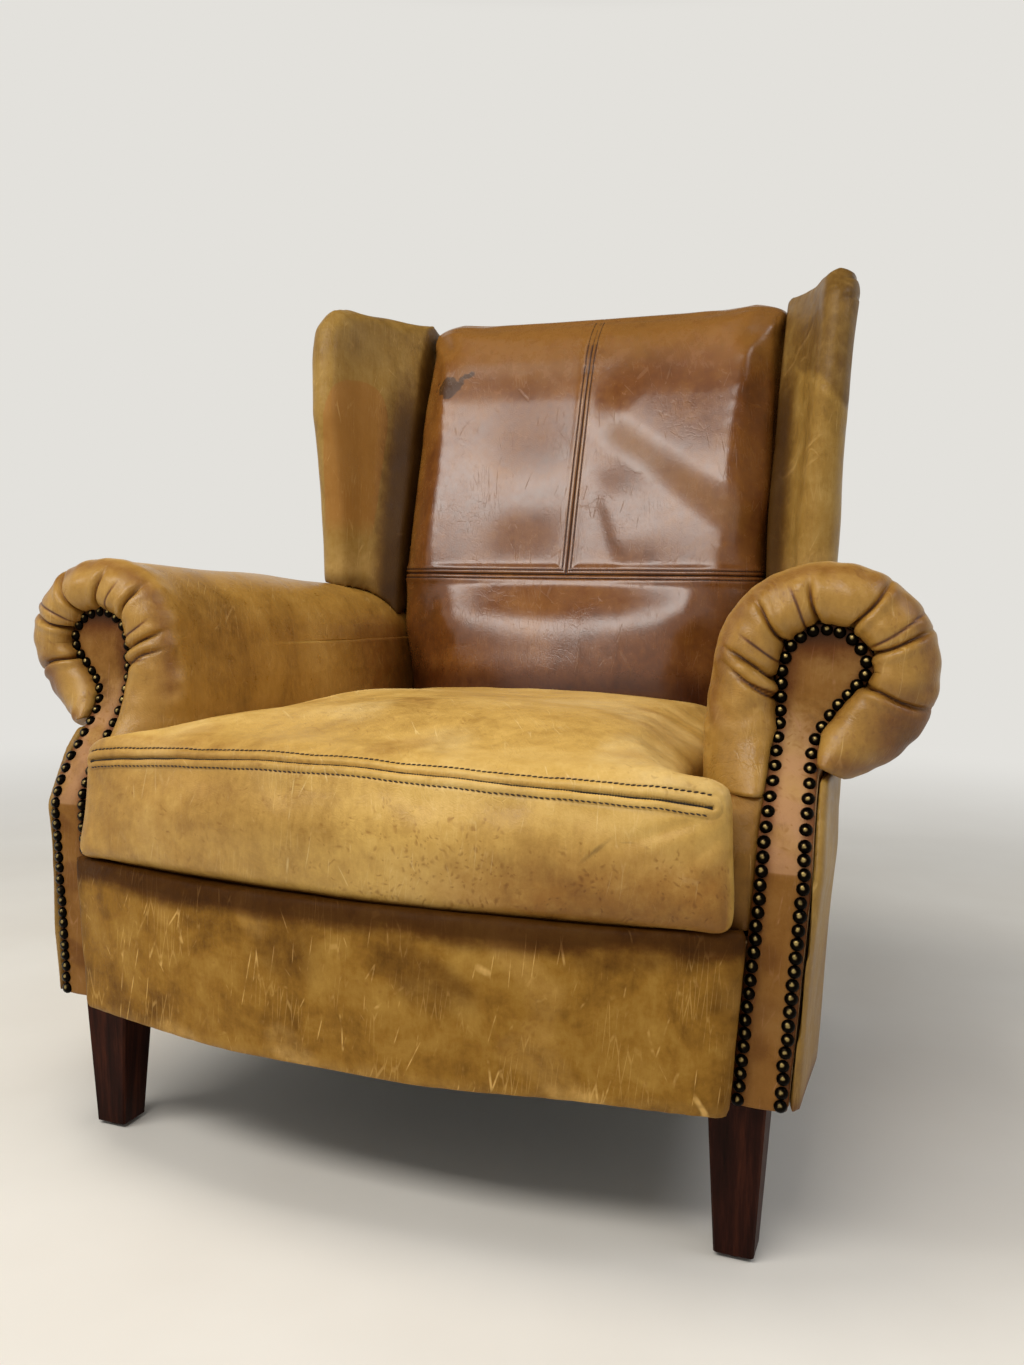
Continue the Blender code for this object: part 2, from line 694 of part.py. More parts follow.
def wing_sections():
    """Sections of the wing's padding, from its foot on the arm, round the corner, to the rear.

    Each gives its seam with the inside back (y, z), the hidden corner behind it (y, z),
    the edge of the board (y, z), the way the edge faces in degrees above the front,
    and how far the top is filled level, from 0 to 1.
    """
    corner_y, corner_z = wing_corner()
    sections = []
    for z in (BACK_SEAM_Z, *wing_levels()):
        seam = (back_surface(back_edge(z), z), z)
        sections.append((seam, (back_front(z) - 2 * SOFT_FIT, z), (board_front_y(z), z), 0, 0))
    over = BACK_POST_TOP + SOFT_FIT
    corner_front = back_front(BACK_POST_TOP) - SOFT_FIT
    turns = ((30, -0.022, 0.0), (60, -0.008, 0.1), (90, 0.015, 0.6))
    for angle, above, fill in turns:
        a = math.radians(angle)
        z = BACK_POST_TOP + above
        edge = (corner_y - WING_CORNER_RADIUS * math.cos(a), corner_z + WING_CORNER_RADIUS * math.sin(a))
        hidden = (back_front(z) - 2 * SOFT_FIT, z) if z < BACK_POST_TOP else (corner_front, over)
        sections.append(((back_surface(back_edge(z), z), z), hidden, edge, angle, fill))
    board_top = corner_z + WING_CORNER_RADIUS
    rear = back_rear(board_top - WING_WRAP) - SOFT_FIT
    for share, seam_back, rise, hidden_back in ((0.33, 0.038, 0.032, 0.009), (0.66, 0.016, 0.041, 0.019)):
        seam = (back_front(BACK_POST_TOP) - seam_back, BACK_POST_TOP + rise)
        hidden = (back_front(BACK_POST_TOP) + hidden_back, over)
        sections.append((seam, hidden, (mix(corner_y, rear, share), board_top), 90, 1))
    sections.append(((rear, OUTSIDE_BACK_TOP - 0.002), (rear, over), (rear, board_top), 90, 1))
    return sections


def wing_loop(seam, hidden, edge, angle, fill, on_arm=False):
    gap = SOFT_FIT / 2
    a = math.radians(angle)
    ny, nz = -math.cos(a), math.sin(a)
    seam_x = back_edge(seam[1]) + gap

    def board_at(offset):
        return edge[0] + ny * offset, edge[1] + nz * offset

    inner = board_inner(*board_at(0)) - WING_INNER_PAD
    outer = board_outer(*board_at(0)) + WING_SKIN
    middle, half = (inner + outer) / 2, (outer - inner) / 2
    shown, inside = [], []
    tangent = (inner, *board_at(WING_ROLL * fill * 0.96))
    shown_start = (seam_x, *seam)
    inside_start = (seam_x, *hidden)
    inside_end = board_at(-0.012)
    for share in (0, 0.25, 0.5, 0.75):
        point = [mix(p, q, share) for p, q in zip(shown_start, tangent)]
        point[0] += 0.010 * math.sin(math.pi * share) * (1 - fill)
        shown.append(tuple(point))
        y = mix(hidden[0], inside_end[0], share)
        z = mix(hidden[1], inside_end[1], share)
        inside.append(inside_start if share == 0 else (board_inner(y, z) - gap, y, z))
    fit = BOARD_EDGE_FIT
    for turn, depth in ((-90, -0.012), (-45, fit), (0, fit), (45, fit), (90, -0.010)):
        lift = math.cos(math.radians(turn))
        if turn < 0:
            lift = max(lift, fill * 0.98)
        y, z = board_at(WING_ROLL * lift)
        shown.append((middle + half * math.sin(math.radians(turn)), y, z))
        y, z = board_at(depth)
        x = {-90: board_inner(y, z) - gap, -45: board_inner(y, z) - gap}.get(turn, board_outer(y, z) + gap)
        if turn == 0:
            x = (board_inner(y, z) + board_outer(y, z)) / 2
        inside.append((x, y, z))
    y, z = board_at(-WING_WRAP)
    shown.append((board_outer(y, z) + WING_SKIN, y, z))
    inside.append((board_outer(y, z) + gap, y, z))
    if on_arm:
        last = len(shown) - 1
        lifts = [mix(FOOT_LIFT / 2, 0.0, i / last) for i in range(last + 1)]
        shown = [on_roll(x, y, lift) for (x, y, z), lift in zip(shown, lifts)]
        inside = [on_roll(x, y, FOOT_LIFT, lambda h: back_front(h) - 2 * SOFT_FIT) for x, y, z in inside]
    return shown + inside[::-1]


def add_wing_pad(side, word, chair, mats):
    """Inner face, front roll and top roll of a wing, wrapped round the edge of its board."""
    sections = wing_sections()
    loops = [wing_loop(*sections[0], on_arm=True)]
    base_z = ROLL_Z + ROLL_REAR_RADIUS
    for section in sections:
        if section[0][1] > base_z + 0.02 or section[3]:
            loops.append(wing_loop(*section))
    loft("wing_pad_" + word, loops, mats["leather"], chair, side, smooth_angle=50)


def add_outside_wing(side, word, chair, mats):
    """Thin leather panel on the outer face of the wing board."""
    corner_y, corner_z = wing_corner()
    inner_radius = WING_CORNER_RADIUS - WING_WRAP - 0.001
    rows = []

    def row(z, foot=False):
        lift = max(0.0, z - corner_z)
        front = board_front_y(min(z, corner_z)) + WING_WRAP + 0.001
        if lift:
            front = corner_y - math.sqrt(max(0.0, inner_radius ** 2 - lift ** 2))
        rear = back_rear(z) - FIT
        points = []
        for y, skin in ((front, FIT), (front, WING_SKIN), (rear, WING_SKIN), (rear, FIT)):
            x = board_outer(y, z) + skin
            points.append(on_roll(x, y) if foot else (x, y, z))
        rows.append(points)

    row(ROLL_Z + ROLL_REAR_RADIUS, foot=True)
    for z in wing_levels():
        row(z)
    for angle in (35, 65, 88):
        row(corner_z + inner_radius * math.sin(math.radians(angle)))
    loft("outside_wing_" + word, rows, mats["leather"], chair, side)


# Arms

def pad_columns():
    """Places along the arm's section: up the inner leg, then round the roll to its lip."""
    columns = [("leg", LEATHER_BOTTOM + 0.0002), ("leg", 0.36), ("leg", ARM_SEAM_Z - 0.001)]
    columns += [("leg", ARM_SEAM_Z + 0.0015), ("leg", 0.43), ("leg", 0.47)]
    angles = {post_angle(SOFT_FIT / 2), post_angle(0.004), 75, ROLL_LIP_ANGLE}
    angles |= {lip_angle(z) for z in neck_levels()}
    for angle in PLEAT_ANGLES:
        angles |= {angle - PLEAT_HALF_ANGLE, angle, angle + PLEAT_HALF_ANGLE}
    return columns + [("roll", angle) for angle in sorted(angles, reverse=True)]


def lip_angle(z):
    """The angle below the roll's centre that faces height z on the outer side of the neck."""
    return ROLL_LIP_ANGLE * (HEAD_Z - z) / (HEAD_Z - NECK_Z + LIP_BELOW_NECK)


def keyhole_point(kind, value, margin):
    """The point of the grown keyhole outline that faces a place on the arm's section."""
    if kind == "leg":
        return nail_inner(value, margin), value
    reach = HEAD_RADIUS + margin
    if value >= 0:
        a = math.radians(value)
        return HEAD_X + reach * math.cos(a), HEAD_Z + reach * math.sin(a)
    z = mix(HEAD_Z, NECK_Z - LIP_BELOW_NECK, value / ROLL_LIP_ANGLE)
    return nail_outer(z, margin), z


def shown_point(kind, value, y):
    if kind == "leg":
        return through(INNER_FACE, value) + toe(y), value
    return roll_point(value, y)


def pleat_strength(kind, value):
    return 1.0 if kind == "roll" and value in PLEAT_ANGLES else 0.0


def rear_end(x, z):
    """The arm ends on the back post; outside the post it runs on to the back's rear face."""
    passes_post = x > POST_OUTER_X + SOFT_FIT
    return (back_rear(z) if passes_post else back_front(z)) - SOFT_FIT


def post_angle(clear):
    """The place on the rear of the roll that clears the back post's outer face."""
    x, _, _ = roll_at(TOE_END_Y)
    return math.degrees(math.acos((POST_OUTER_X + clear - x) / ROLL_INNER_REACH))


def add_inside_arm(side, word, chair, mats):
    """Inside arm, roll and pleated front band: one padded cover round the arm timbers."""
    margin = FACING_MARGIN + SOFT_FIT
    columns = pad_columns()
    loops = []
    for turn in (0, 25, 55, 90, 135, 180):
        a = math.radians(turn)
        radial = (1 - math.cos(a)) / 2
        shown, hidden = [], []
        for kind, value in columns:
            kx, kz = keyhole_point(kind, value, margin)
            sx, sz = shown_point(kind, value, BAND_BACK_Y)
            if kind == "leg" and value < ARM_SEAM_Z:
                start = PATCH_BACK_Y + FIT
                x = mix(kx, mix(PATCH_REAR_INNER_X, sx, radial ** 4), radial)
                shown.append((x, mix(start, BAND_BACK_Y, radial ** 6), mix(kz, sz, radial)))
            else:
                start = facing_y(kz)
                fold = pleat_strength(kind, value) * math.sin(a) * (1 - 0.5 * radial)
                y = mix(start, BAND_BACK_Y, radial) - BAND_BULGE * math.sin(a) + PLEAT_DEPTH * fold
                shown.append((mix(kx, sx, radial), y, mix(kz, sz, radial)))
            hidden.append((kx, mix(start + 0.004, BAND_BACK_Y, radial), kz))
        loops.append(shown + hidden[::-1])
    for y in (TOE_START_Y, 0.24, 0.38, TOE_END_Y, None):
        shown, hidden = [], []
        for kind, value in columns:
            depth = TOE_END_Y if y is None else y
            sx, sz = shown_point(kind, value, depth)
            kx, kz = keyhole_point(kind, value, margin)
            kx += toe(depth)
            shown.append((sx, rear_end(sx, sz) if y is None else y, sz))
            hidden.append((kx, rear_end(sx, kz) if y is None else y, kz))
        loops.append(shown + hidden[::-1])
    loft("inside_arm_" + word, loops, mats["leather"], chair, side, smooth_angle=60)


def add_outside_arm(side, word, chair, mats):
    """Padded leather panel from under the roll's lip to the hem."""
    loops = []
    for y, fullness in ((None, 0.45), (0.0, 0.9), (TOE_START_Y, 1.0), (TOE_END_Y, 1.0), (0.61, 0.9)):
        depth = 0.0 if y is None else y
        lip = roll_point(ROLL_LIP_ANGLE, max(depth, BAND_BACK_Y))[1] - 2 * FIT
        inner, outer = [], []
        for z in (LEATHER_HEM, 0.25, KNEE_Z, BACK_BEND_Z, lip):
            face = nail_outer(z, FACING_MARGIN) + toe(depth) + FIT
            place = depth
            if y is None:
                place = facing_y(z)
            elif depth == 0.0:
                place = facing_y(z) + FACING_THICKNESS
            elif depth > TOE_END_Y:
                place = back_rear(z) - FIT
            inner.append((face, place, z))
            outer.append((face + OUTSIDE_ARM_THICKNESS * fullness, place, z))
        loops.append(outer + inner[::-1])
    loft("outside_arm_" + word, loops, mats["leather"], chair, side, smooth_angle=50)


def add_arm_facing(side, word, chair, mats):
    """Keyhole-shaped leather panel on the front of the post, inside the nail line."""
    rows = []
    for z, y in FACING_LINE:
        x0, x1 = nail_inner(z, FACING_MARGIN), nail_outer(z, FACING_MARGIN)
        rows.append(plan(x0, x1, y, y + FACING_THICKNESS, z))
    loft("arm_facing_" + word, rows, mats["leather"], chair, side)


def add_arm_front_patch(side, word, chair, mats):
    """Small stuffed leather piece between the end of the cushion and the inner nails."""
    rows = []
    top = ARM_SEAM_Z - 0.0017
    for z, fullness in ((LEATHER_BOTTOM, 0.6), (0.32, 1.0), (0.36, 1.0), (top - 0.012, 0.9), (top, 0.4)):
        face = facing_y(z) - PATCH_BULGE * fullness
        outer = nail_inner(z, FACING_MARGIN) - FIT
        rows.append([
            (PATCH_INNER_X + 0.008, face, z), (outer, face + PATCH_BULGE * fullness, z),
            (outer, PATCH_BACK_Y - FIT, z), (PATCH_REAR_INNER_X + FIT, PATCH_BACK_Y - FIT, z),
            (PATCH_INNER_X, face + 0.008, z),
        ])
    loft("arm_front_patch_" + word, rows, mats["leather"], chair, side, flat_ends=True)


def nail_line():
    """Points (x, z) up the inner side, round the head and down the outer side."""
    foot = UNDERSIDE + 0.001
    steps = 120
    line = [(nail_inner(mix(foot, HEAD_Z, i / steps)), mix(foot, HEAD_Z, i / steps)) for i in range(steps)]
    for i in range(steps + 1):
        a = math.pi * (1 - i / steps)
        line.append((HEAD_X + HEAD_RADIUS * math.cos(a), HEAD_Z + HEAD_RADIUS * math.sin(a)))
    line += [(nail_outer(mix(HEAD_Z, foot, i / steps)), mix(HEAD_Z, foot, i / steps)) for i in range(1, steps + 1)]
    return line


def add_nail_trim(side, word, chair, mats):
    """One strip of domed nails at an even pitch, following the keyhole outline."""
    line = nail_line()
    lengths = [0.0]
    for (x0, z0), (x1, z1) in zip(line, line[1:]):
        lengths.append(lengths[-1] + math.hypot(x1 - x0, z1 - z0))
    count = round(lengths[-1] / NAIL_PITCH)
    pitch = lengths[-1] / count
    table_x = [(s, p[0]) for s, p in zip(lengths, line)]
    table_z = [(s, p[1]) for s, p in zip(lengths, line)]
    stations = []
    for nail in range(count):
        stations += [((nail + 0.0) * pitch, 0.5, 0.25), ((nail + 0.28) * pitch, 1.0, 1.0)]
        stations += [((nail + 0.72) * pitch, 1.0, 1.0)]
    stations.append((lengths[-1], 0.5, 0.25))
    rings = []
    for s, wide, high in stations:
        x, z = through(table_x, s), through(table_z, s)
        ahead, behind = min(s + 0.001, lengths[-1]), max(s - 0.001, 0.0)
        dx = through(table_x, ahead) - through(table_x, behind)
        dz = through(table_z, ahead) - through(table_z, behind)
        length = math.hypot(dx, dz)
        rings.append(nail_ring(x, z, -dz / length, dx / length, wide, high))
    loft("nail_trim_" + word, rings, mats["brass"], chair, side, flat_ends=True, smooth_angle=50)


def nail_ring(x, z, across_x, across_z, wide, high):
    ring = []
    for across, out in ((-1, 0), (-0.58, 1), (0.58, 1), (1, 0)):
        reach = NAIL_HALF_WIDTH * wide * across
        px, pz = x + across_x * reach, z + across_z * reach
        ring.append((px, through(FACING_LINE, pz) - NAIL_SEAT - NAIL_HEIGHT * high * out, pz))
    return ring


# Seat, border and back

def add_front_border(chair, mats):
    """Padded leather over the front rail."""
    loops = []
    levels = ((LEATHER_HEM, 0.0), (0.19, 0.5), (0.24, 0.85), (0.28, 1.0), (DECK_TOP - 0.003, 0.7))
    for step in range(-7, 8):
        t = step / 7
        front, rear = [], []
        for z, fullness in levels:
            x = t * (nail_inner(z, FACING_MARGIN) - FIT)
            y = FRONT_RAIL_Y - SEAT_BOW * bow(t) - FIT
            bulge = BORDER_BULGE * fullness * (1 - t ** 6)
            front.append((x, y - BORDER_THICKNESS - bulge, z))
            rear.append((x, y, z))
        loops.append(front + rear[::-1])
    loft("front_border", loops, mats["leather"], chair, smooth_angle=50)


def cushion_half(y):
    """Half width of the seat cushion behind its front corners."""
    if y < PATCH_BACK_Y:
        face = mix(PATCH_INNER_X, PATCH_REAR_INNER_X, clamp((y - FACING_Y) / (PATCH_BACK_Y - FACING_Y)))
    else:
        low = min(value for z, value in INNER_FACE)
        face = mix(PATCH_REAR_INNER_X, low, clamp((y - PATCH_BACK_Y) / 0.035)) + toe(y)
    return face - SOFT_FIT - 0.0006


def add_seat_cushion(chair, mats):
    """Crowned cushion with a bowed front and corners that cover the front of the arms."""
    shares = CUSHION_SHARES
    bottom = LEATHER_BOTTOM
    rows = [
        (0.000, CUSHION_HALF_WIDTH - 0.010, 0.014, 0.014, 0.0),
        (0.004, CUSHION_HALF_WIDTH - 0.004, 0.005, 0.004, 0.0),
        (0.014, CUSHION_HALF_WIDTH, 0.0, 0.0, 0.12),
    ]
    loops = []
    for back, half, low_inset, high_inset, crown in rows:
        places = [(t * half, CUSHION_FRONT_Y - CUSHION_BOW * bow(t) + back) for t in shares]
        loops.append(cushion_loop(shares, places, bottom + low_inset, CUSHION_EDGE - high_inset, crown))
    for y in (EAR_BACK_Y, EAR_BACK_Y + FIT, PATCH_BACK_Y, BAND_BACK_Y, TOE_START_Y, 0.24, 0.38, 0.445):
        half = CUSHION_HALF_WIDTH if y == EAR_BACK_Y else cushion_half(y)
        crown = ease((y - CUSHION_FRONT_Y) / 0.16 + 0.12) * (1 - 0.25 * ease((y - 0.3) / 0.2))
        places = [(t * half, y) for t in shares]
        loops.append(cushion_loop(shares, places, bottom, CUSHION_EDGE, crown))
    half = cushion_half(TOE_END_Y)
    last = cushion_loop(shares, [(t * half, 0.0) for t in shares], bottom, CUSHION_EDGE, 0.5)
    loops.append([(x, back_surface(x, z) - CUSHION_REAR_GAP, z) for x, y, z in last])
    loft("seat_cushion", loops, mats["leather"], chair, smooth_angle=50)


def cushion_loop(shares, places, low, high, crown):
    top = []
    for t, (x, y) in zip(shares, places):
        rise = CUSHION_CROWN * crown * (1 - t * t) ** 0.6
        edge = 0.006 if abs(t) == 1 else 0.0
        top.append((x, y, high + rise - edge))
    return top + [(x, y, low) for x, y in reversed(places)]


def add_inside_back(chair, mats):
    """One padded cover: full at the loins, over the top rail and down behind it."""
    gap = 2 * WEB_GAP + WEB_THICKNESS + FIT
    levels = [LEATHER_BOTTOM + 0.0002, 0.36, BACK_BEND_Z, 0.43, 0.47, INNER_FACE[-1][0], 0.54, 0.57]
    levels += [mix(BACK_SEAM_Z, BACK_POST_TOP, share) for share in (0, 0.24, 0.59, 0.88)]
    rail_front = back_front(BACK_POST_TOP) - gap
    rail_rear = back_front(BACK_POST_TOP) + RAIL_THICKNESS + FIT
    over = BACK_POST_TOP + FIT
    hem_top, hem = OUTSIDE_BACK_TOP - 0.004, BACK_POST_TOP - 0.015
    post_y, rail_y = back_front(BACK_POST_TOP), back_front(BACK_POST_TOP) + RAIL_THICKNESS / 2
    crown = [
        ((post_y - 0.046, BACK_POST_TOP + 0.015), (rail_front, over)),
        ((post_y - 0.038, BACK_POST_TOP + 0.032), (rail_y - 0.007, over)),
        ((post_y - 0.024, BACK_POST_TOP + BACK_TOP_PAD - 0.002), (rail_y - 0.001, over)),
        ((post_y - 0.002, BACK_POST_TOP + BACK_TOP_PAD), (rail_y + 0.005, over)),
        ((post_y + 0.024, BACK_POST_TOP + BACK_TOP_PAD - 0.009), (rail_rear, over)),
        ((back_rear(hem_top) - FIT, hem_top), (rail_rear, over - 0.008)),
        ((back_rear(hem) - FIT, hem), (rail_rear, hem)),
    ]
    loops = []
    for t in CUSHION_SHARES:
        shown, hidden = [], []
        for z in levels:
            x = t * back_edge(z)
            shown.append((x, back_surface(x, z), z))
            hidden.append((x, back_front(z) - gap, z))
        droop = BACK_PILLOW * 0.5 * ease((abs(t) - 0.84) / 0.16)
        for (y, z), (hidden_y, hidden_z) in crown:
            x = t * back_edge(z)
            low = droop if z > OUTSIDE_BACK_TOP else 0.0
            fade = clamp((post_y - y) / 0.030)
            curve = back_surface(x, BACK_POST_TOP) - back_surface(0, BACK_POST_TOP)
            shown.append((x, y + curve * fade, z - low))
            hidden.append((t * back_edge(hidden_z), hidden_y, hidden_z))
        loops.append(shown + hidden[::-1])
    loft("inside_back", loops, mats["back_leather"], chair, smooth_angle=50)


def add_outside_back(chair, mats):
    """Thin panel closing the back: as wide as the arms, round their rolls, then up the wings."""
    rows = []
    rear_toe = toe(TOE_END_Y)
    wing_half = board_outer(back_rear(0.64), 0.64) + WING_SKIN
    outline = []
    for z in (LEATHER_HEM, 0.25, KNEE_Z, BACK_BEND_Z, NECK_Z - 0.02):
        outline.append((nail_outer(z, FACING_MARGIN) + rear_toe + FIT + OUTSIDE_ARM_THICKNESS, z))
    for angle in (-60, -30, 0, 30, 58, 82):
        half, z = roll_point(angle, TOE_END_Y)
        outline.append((half - OUTSIDE_BACK_INSET, z))
    outline += [(wing_half, ROLL_Z + ROLL_REAR_RADIUS + 0.03), (wing_half, OUTSIDE_BACK_TOP)]
    for half, z in outline:
        y = back_rear(z) + 2 * FIT
        line = [(-half, y), (half, y), (half - 0.004, y + OUTSIDE_BACK_THICKNESS)]
        line.append((0.004 - half, y + OUTSIDE_BACK_THICKNESS))
        rows.append([(x, py, z) for x, py in line])
    loft("outside_back", rows, mats["leather"], chair)


def main():
    for old in list(bpy.data.objects):
        bpy.data.objects.remove(old, do_unlink=True)
    for name in (COLLECTION, "cutters"):
        bpy.context.scene.collection.children.link(bpy.data.collections.new(name))
    mats = {
        "leather": material("tan_leather", (0.40, 0.22, 0.07), 0.42),
        "back_leather": material("brown_leather", (0.18, 0.07, 0.03), 0.30),
        "foot": material("dark_stained_wood", (0.05, 0.022, 0.015), 0.40),
        "timber": material("beech", (0.60, 0.42, 0.24), 0.65),
        "webbing": material("jute_webbing", (0.45, 0.33, 0.18), 0.90),
        "hessian": material("hessian", (0.42, 0.34, 0.22), 0.95),
        "dust_cloth": material("black_cambric", (0.02, 0.02, 0.02), 0.95),
        "brass": material("antique_brass", (0.28, 0.19, 0.09), 0.35, 1.0),
        "steel": material("zinc_plated_steel", (0.55, 0.55, 0.55), 0.35, 1.0),
        "glide": material("brown_nylon", (0.09, 0.06, 0.04), 0.50),
    }
    chair = bpy.data.objects.new("chair", None)
    bpy.data.collections[COLLECTION].objects.link(chair)
    front = CUSHION_FRONT_Y - CUSHION_BOW
    border_front = FRONT_RAIL_Y - SEAT_BOW - FIT - BORDER_THICKNESS - BORDER_BULGE
    rear = back_rear(OUTSIDE_BACK_TOP) + 2 * FIT + OUTSIDE_BACK_THICKNESS
    chair.location.y = -(min(front, border_front) + rear) / 2

    add_seat_rails(chair, mats)
    add_back_rails(chair, mats)
    add_webbing(chair, mats)
    add_deck(chair, mats)
    for side, word in SIDES:
        add_front_post(side, word, add_foot("front", side, word, chair, mats), chair, mats)
        add_back_post(side, word, add_foot("rear", side, word, chair, mats), chair, mats)
        add_side_rail(side, word, chair, mats)
        add_corner_blocks(side, word, chair, mats)
        add_arm_rail(side, word, chair, mats)
        add_wing_board(side, word, chair, mats)
        add_wing_pad(side, word, chair, mats)
        add_outside_wing(side, word, chair, mats)
        add_inside_arm(side, word, chair, mats)
        add_outside_arm(side, word, chair, mats)
        add_arm_facing(side, word, chair, mats)
        add_arm_front_patch(side, word, chair, mats)
        add_nail_trim(side, word, chair, mats)
    add_front_border(chair, mats)
    add_seat_cushion(chair, mats)
    add_inside_back(chair, mats)
    add_outside_back(chair, mats)


main()
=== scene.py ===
"""Worn leather club chair: the finish of every surface, and the stuffed leather as modelled meshes.

Metres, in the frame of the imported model. The front of the chair faces -Y.
"""

import functools
import math

import bpy
import numpy as np
from mathutils import Matrix, Vector
from mathutils.bvhtree import BVHTree
from mathutils.kdtree import KDTree


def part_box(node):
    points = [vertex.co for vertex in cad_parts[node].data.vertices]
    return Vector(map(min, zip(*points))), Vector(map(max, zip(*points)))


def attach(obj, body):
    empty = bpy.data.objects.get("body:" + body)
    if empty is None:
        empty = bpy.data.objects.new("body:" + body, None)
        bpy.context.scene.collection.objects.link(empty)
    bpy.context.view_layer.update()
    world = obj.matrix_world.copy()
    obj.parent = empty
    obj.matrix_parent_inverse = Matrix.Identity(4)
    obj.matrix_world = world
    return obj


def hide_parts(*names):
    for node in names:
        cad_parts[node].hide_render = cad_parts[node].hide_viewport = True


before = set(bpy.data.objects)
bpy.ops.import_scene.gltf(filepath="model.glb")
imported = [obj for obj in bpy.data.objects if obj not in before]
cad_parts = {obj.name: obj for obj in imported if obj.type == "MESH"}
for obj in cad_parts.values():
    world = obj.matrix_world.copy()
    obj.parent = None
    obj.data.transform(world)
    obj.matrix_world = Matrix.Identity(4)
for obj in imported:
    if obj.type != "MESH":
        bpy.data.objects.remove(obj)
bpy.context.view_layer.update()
SIDES = ((-1, "left"), (1, "right"))


# Feet
# Four tapered beech feet, stained dark mahogany and lacquered, turned onto hanger bolts.
# The stain is streaked along the grain, and a brown nylon glide is nailed under each foot.

def linear(colour):
    """An sRGB hex colour such as "#C79A4C" as linear red, green, blue and alpha."""
    channels = [int(colour[i:i + 2], 16) / 255 for i in (1, 3, 5)]
    return [c / 12.92 if c < 0.04045 else ((c + 0.055) / 1.055) ** 2.4 for c in channels] + [1.0]


def add_node(tree, kind, inputs=(), stops=None, output=0, **settings):
    """Adds a node, sets its values and ramp stops, links what feeds it, and gives one of its outputs.

    The kind is the node's type without its prefix, and after a space a maths node's operation.
    The inputs are a dict by name or number, or a tuple in the node's own order.
    """
    kind, _, operation = kind.partition(" ")
    node = tree.nodes.new("ShaderNode" + kind)
    if operation:
        node.operation = operation
    for key, value in settings.items():
        setattr(node, key, value)
    for key, value in inputs.items() if isinstance(inputs, dict) else enumerate(inputs):
        if isinstance(value, bpy.types.NodeSocket):
            tree.links.new(value, node.inputs[key])
        else:
            node.inputs[key].default_value = value
    if stops:
        ramp = node.color_ramp.elements
        while len(ramp) < len(stops):
            ramp.new(0.5)
        for element, (place, colour) in zip(ramp, stops):
            element.position = place
            element.color = linear(colour)
    return node.outputs[output] if node.outputs else None


def start_material(name):
    """An empty node material, with the object coordinates that its patterns are laid out in."""
    material = bpy.data.materials.new(name)
    material.use_nodes = True
    material.node_tree.nodes.clear()
    return material, material.node_tree, add_node(material.node_tree, "TexCoord", output="Object")


def end_material(tree, inputs):
    add_node(tree, "OutputMaterial", {"Surface": add_node(tree, "BsdfPrincipled", inputs)})


def wood(name, stops, gloss):
    """Straight-grained wood: streaks a few millimetres across that run up the piece."""
    material, tree, place = start_material(name)
    run = add_node(tree, "Mapping", {"Vector": place, "Scale": (1, 1, 0.06)})
    streaks = add_node(tree, "TexNoise", {"Vector": run, "Scale": 1 / 0.012, "Detail": 6.0, "Roughness": 0.7})
    pores = add_node(tree, "TexNoise", {"Vector": run, "Scale": 1 / 0.0012, "Detail": 2.0})
    rough = {"Value": streaks, "To Min": gloss - 0.06, "To Max": gloss + 0.12}
    end_material(tree, {
        "Base Color": add_node(tree, "ValToRGB", (streaks,), stops),
        "Normal": add_node(tree, "Bump", {"Height": pores, "Strength": 0.25, "Distance": 0.0003}),
        "Roughness": add_node(tree, "MapRange", rough), "IOR": 1.4, "Specular IOR Level": 0.1,
    })
    return material


def plain_finish(name, colour, roughness, metallic=0.0, grain=0.0008):
    """A moulded, plated or woven surface too small or hidden to need more than a fine tooth."""
    material, tree, place = start_material(name)
    tooth = add_node(tree, "TexNoise", {"Vector": place, "Scale": 1 / grain, "Detail": 3.0})
    cloud = add_node(tree, "TexNoise", {"Vector": place, "Scale": 30.0, "Detail": 4.0})
    shade = add_node(tree, "MapRange", {"Value": cloud, "To Min": 0.75, "To Max": 1.25})
    end_material(tree, {
        "Base Color": add_node(tree, "VectorMath SCALE", {0: linear(colour)[:3], "Scale": shade}),
        "Roughness": roughness, "Metallic": metallic,
        "Normal": add_node(tree, "Bump", {"Height": tooth, "Strength": 0.5, "Distance": 0.0001}),
    })
    return material


def finish_nodes(names, material):
    for name in names:
        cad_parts[name].material_slots[0].material = material


def corner_names(part):
    return [f"{part}_{end}_{word}" for end in ("front", "rear") for _, word in SIDES]


MAHOGANY_TONES = [(0.3, "#100502"), (0.5, "#2A110A"), (0.72, "#4A2415")]
BEECH_TONES = [(0.3, "#A98459"), (0.6, "#C9A67A"), (0.8, "#D8BB92")]
finish_nodes(corner_names("foot"), wood("lacquered dark mahogany stain", MAHOGANY_TONES, 0.42))
finish_nodes(corner_names("glide"), plain_finish("brown nylon", "#3A2E26", 0.5))
finish_nodes(corner_names("hanger_bolt"), plain_finish("zinc plate", "#B9BABC", 0.35, 1.0))


# Frame, webbing and under-cloths
# Sawn beech posts and rails, jute webs, a padded hessian deck and thin black cambric below.
# Only the cambric can be seen, and only from underneath.

frame_parts = ["front_rail", "rear_rail", "top_rail", "lumbar_rail", *corner_names("corner_block")]
for _, word in SIDES:
    for part in ("front_post", "back_post", "side_rail", "arm_rail", "wing_board"):
        frame_parts.append(f"{part}_{word}")
finish_nodes(frame_parts, wood("sawn beech", BEECH_TONES, 0.65))


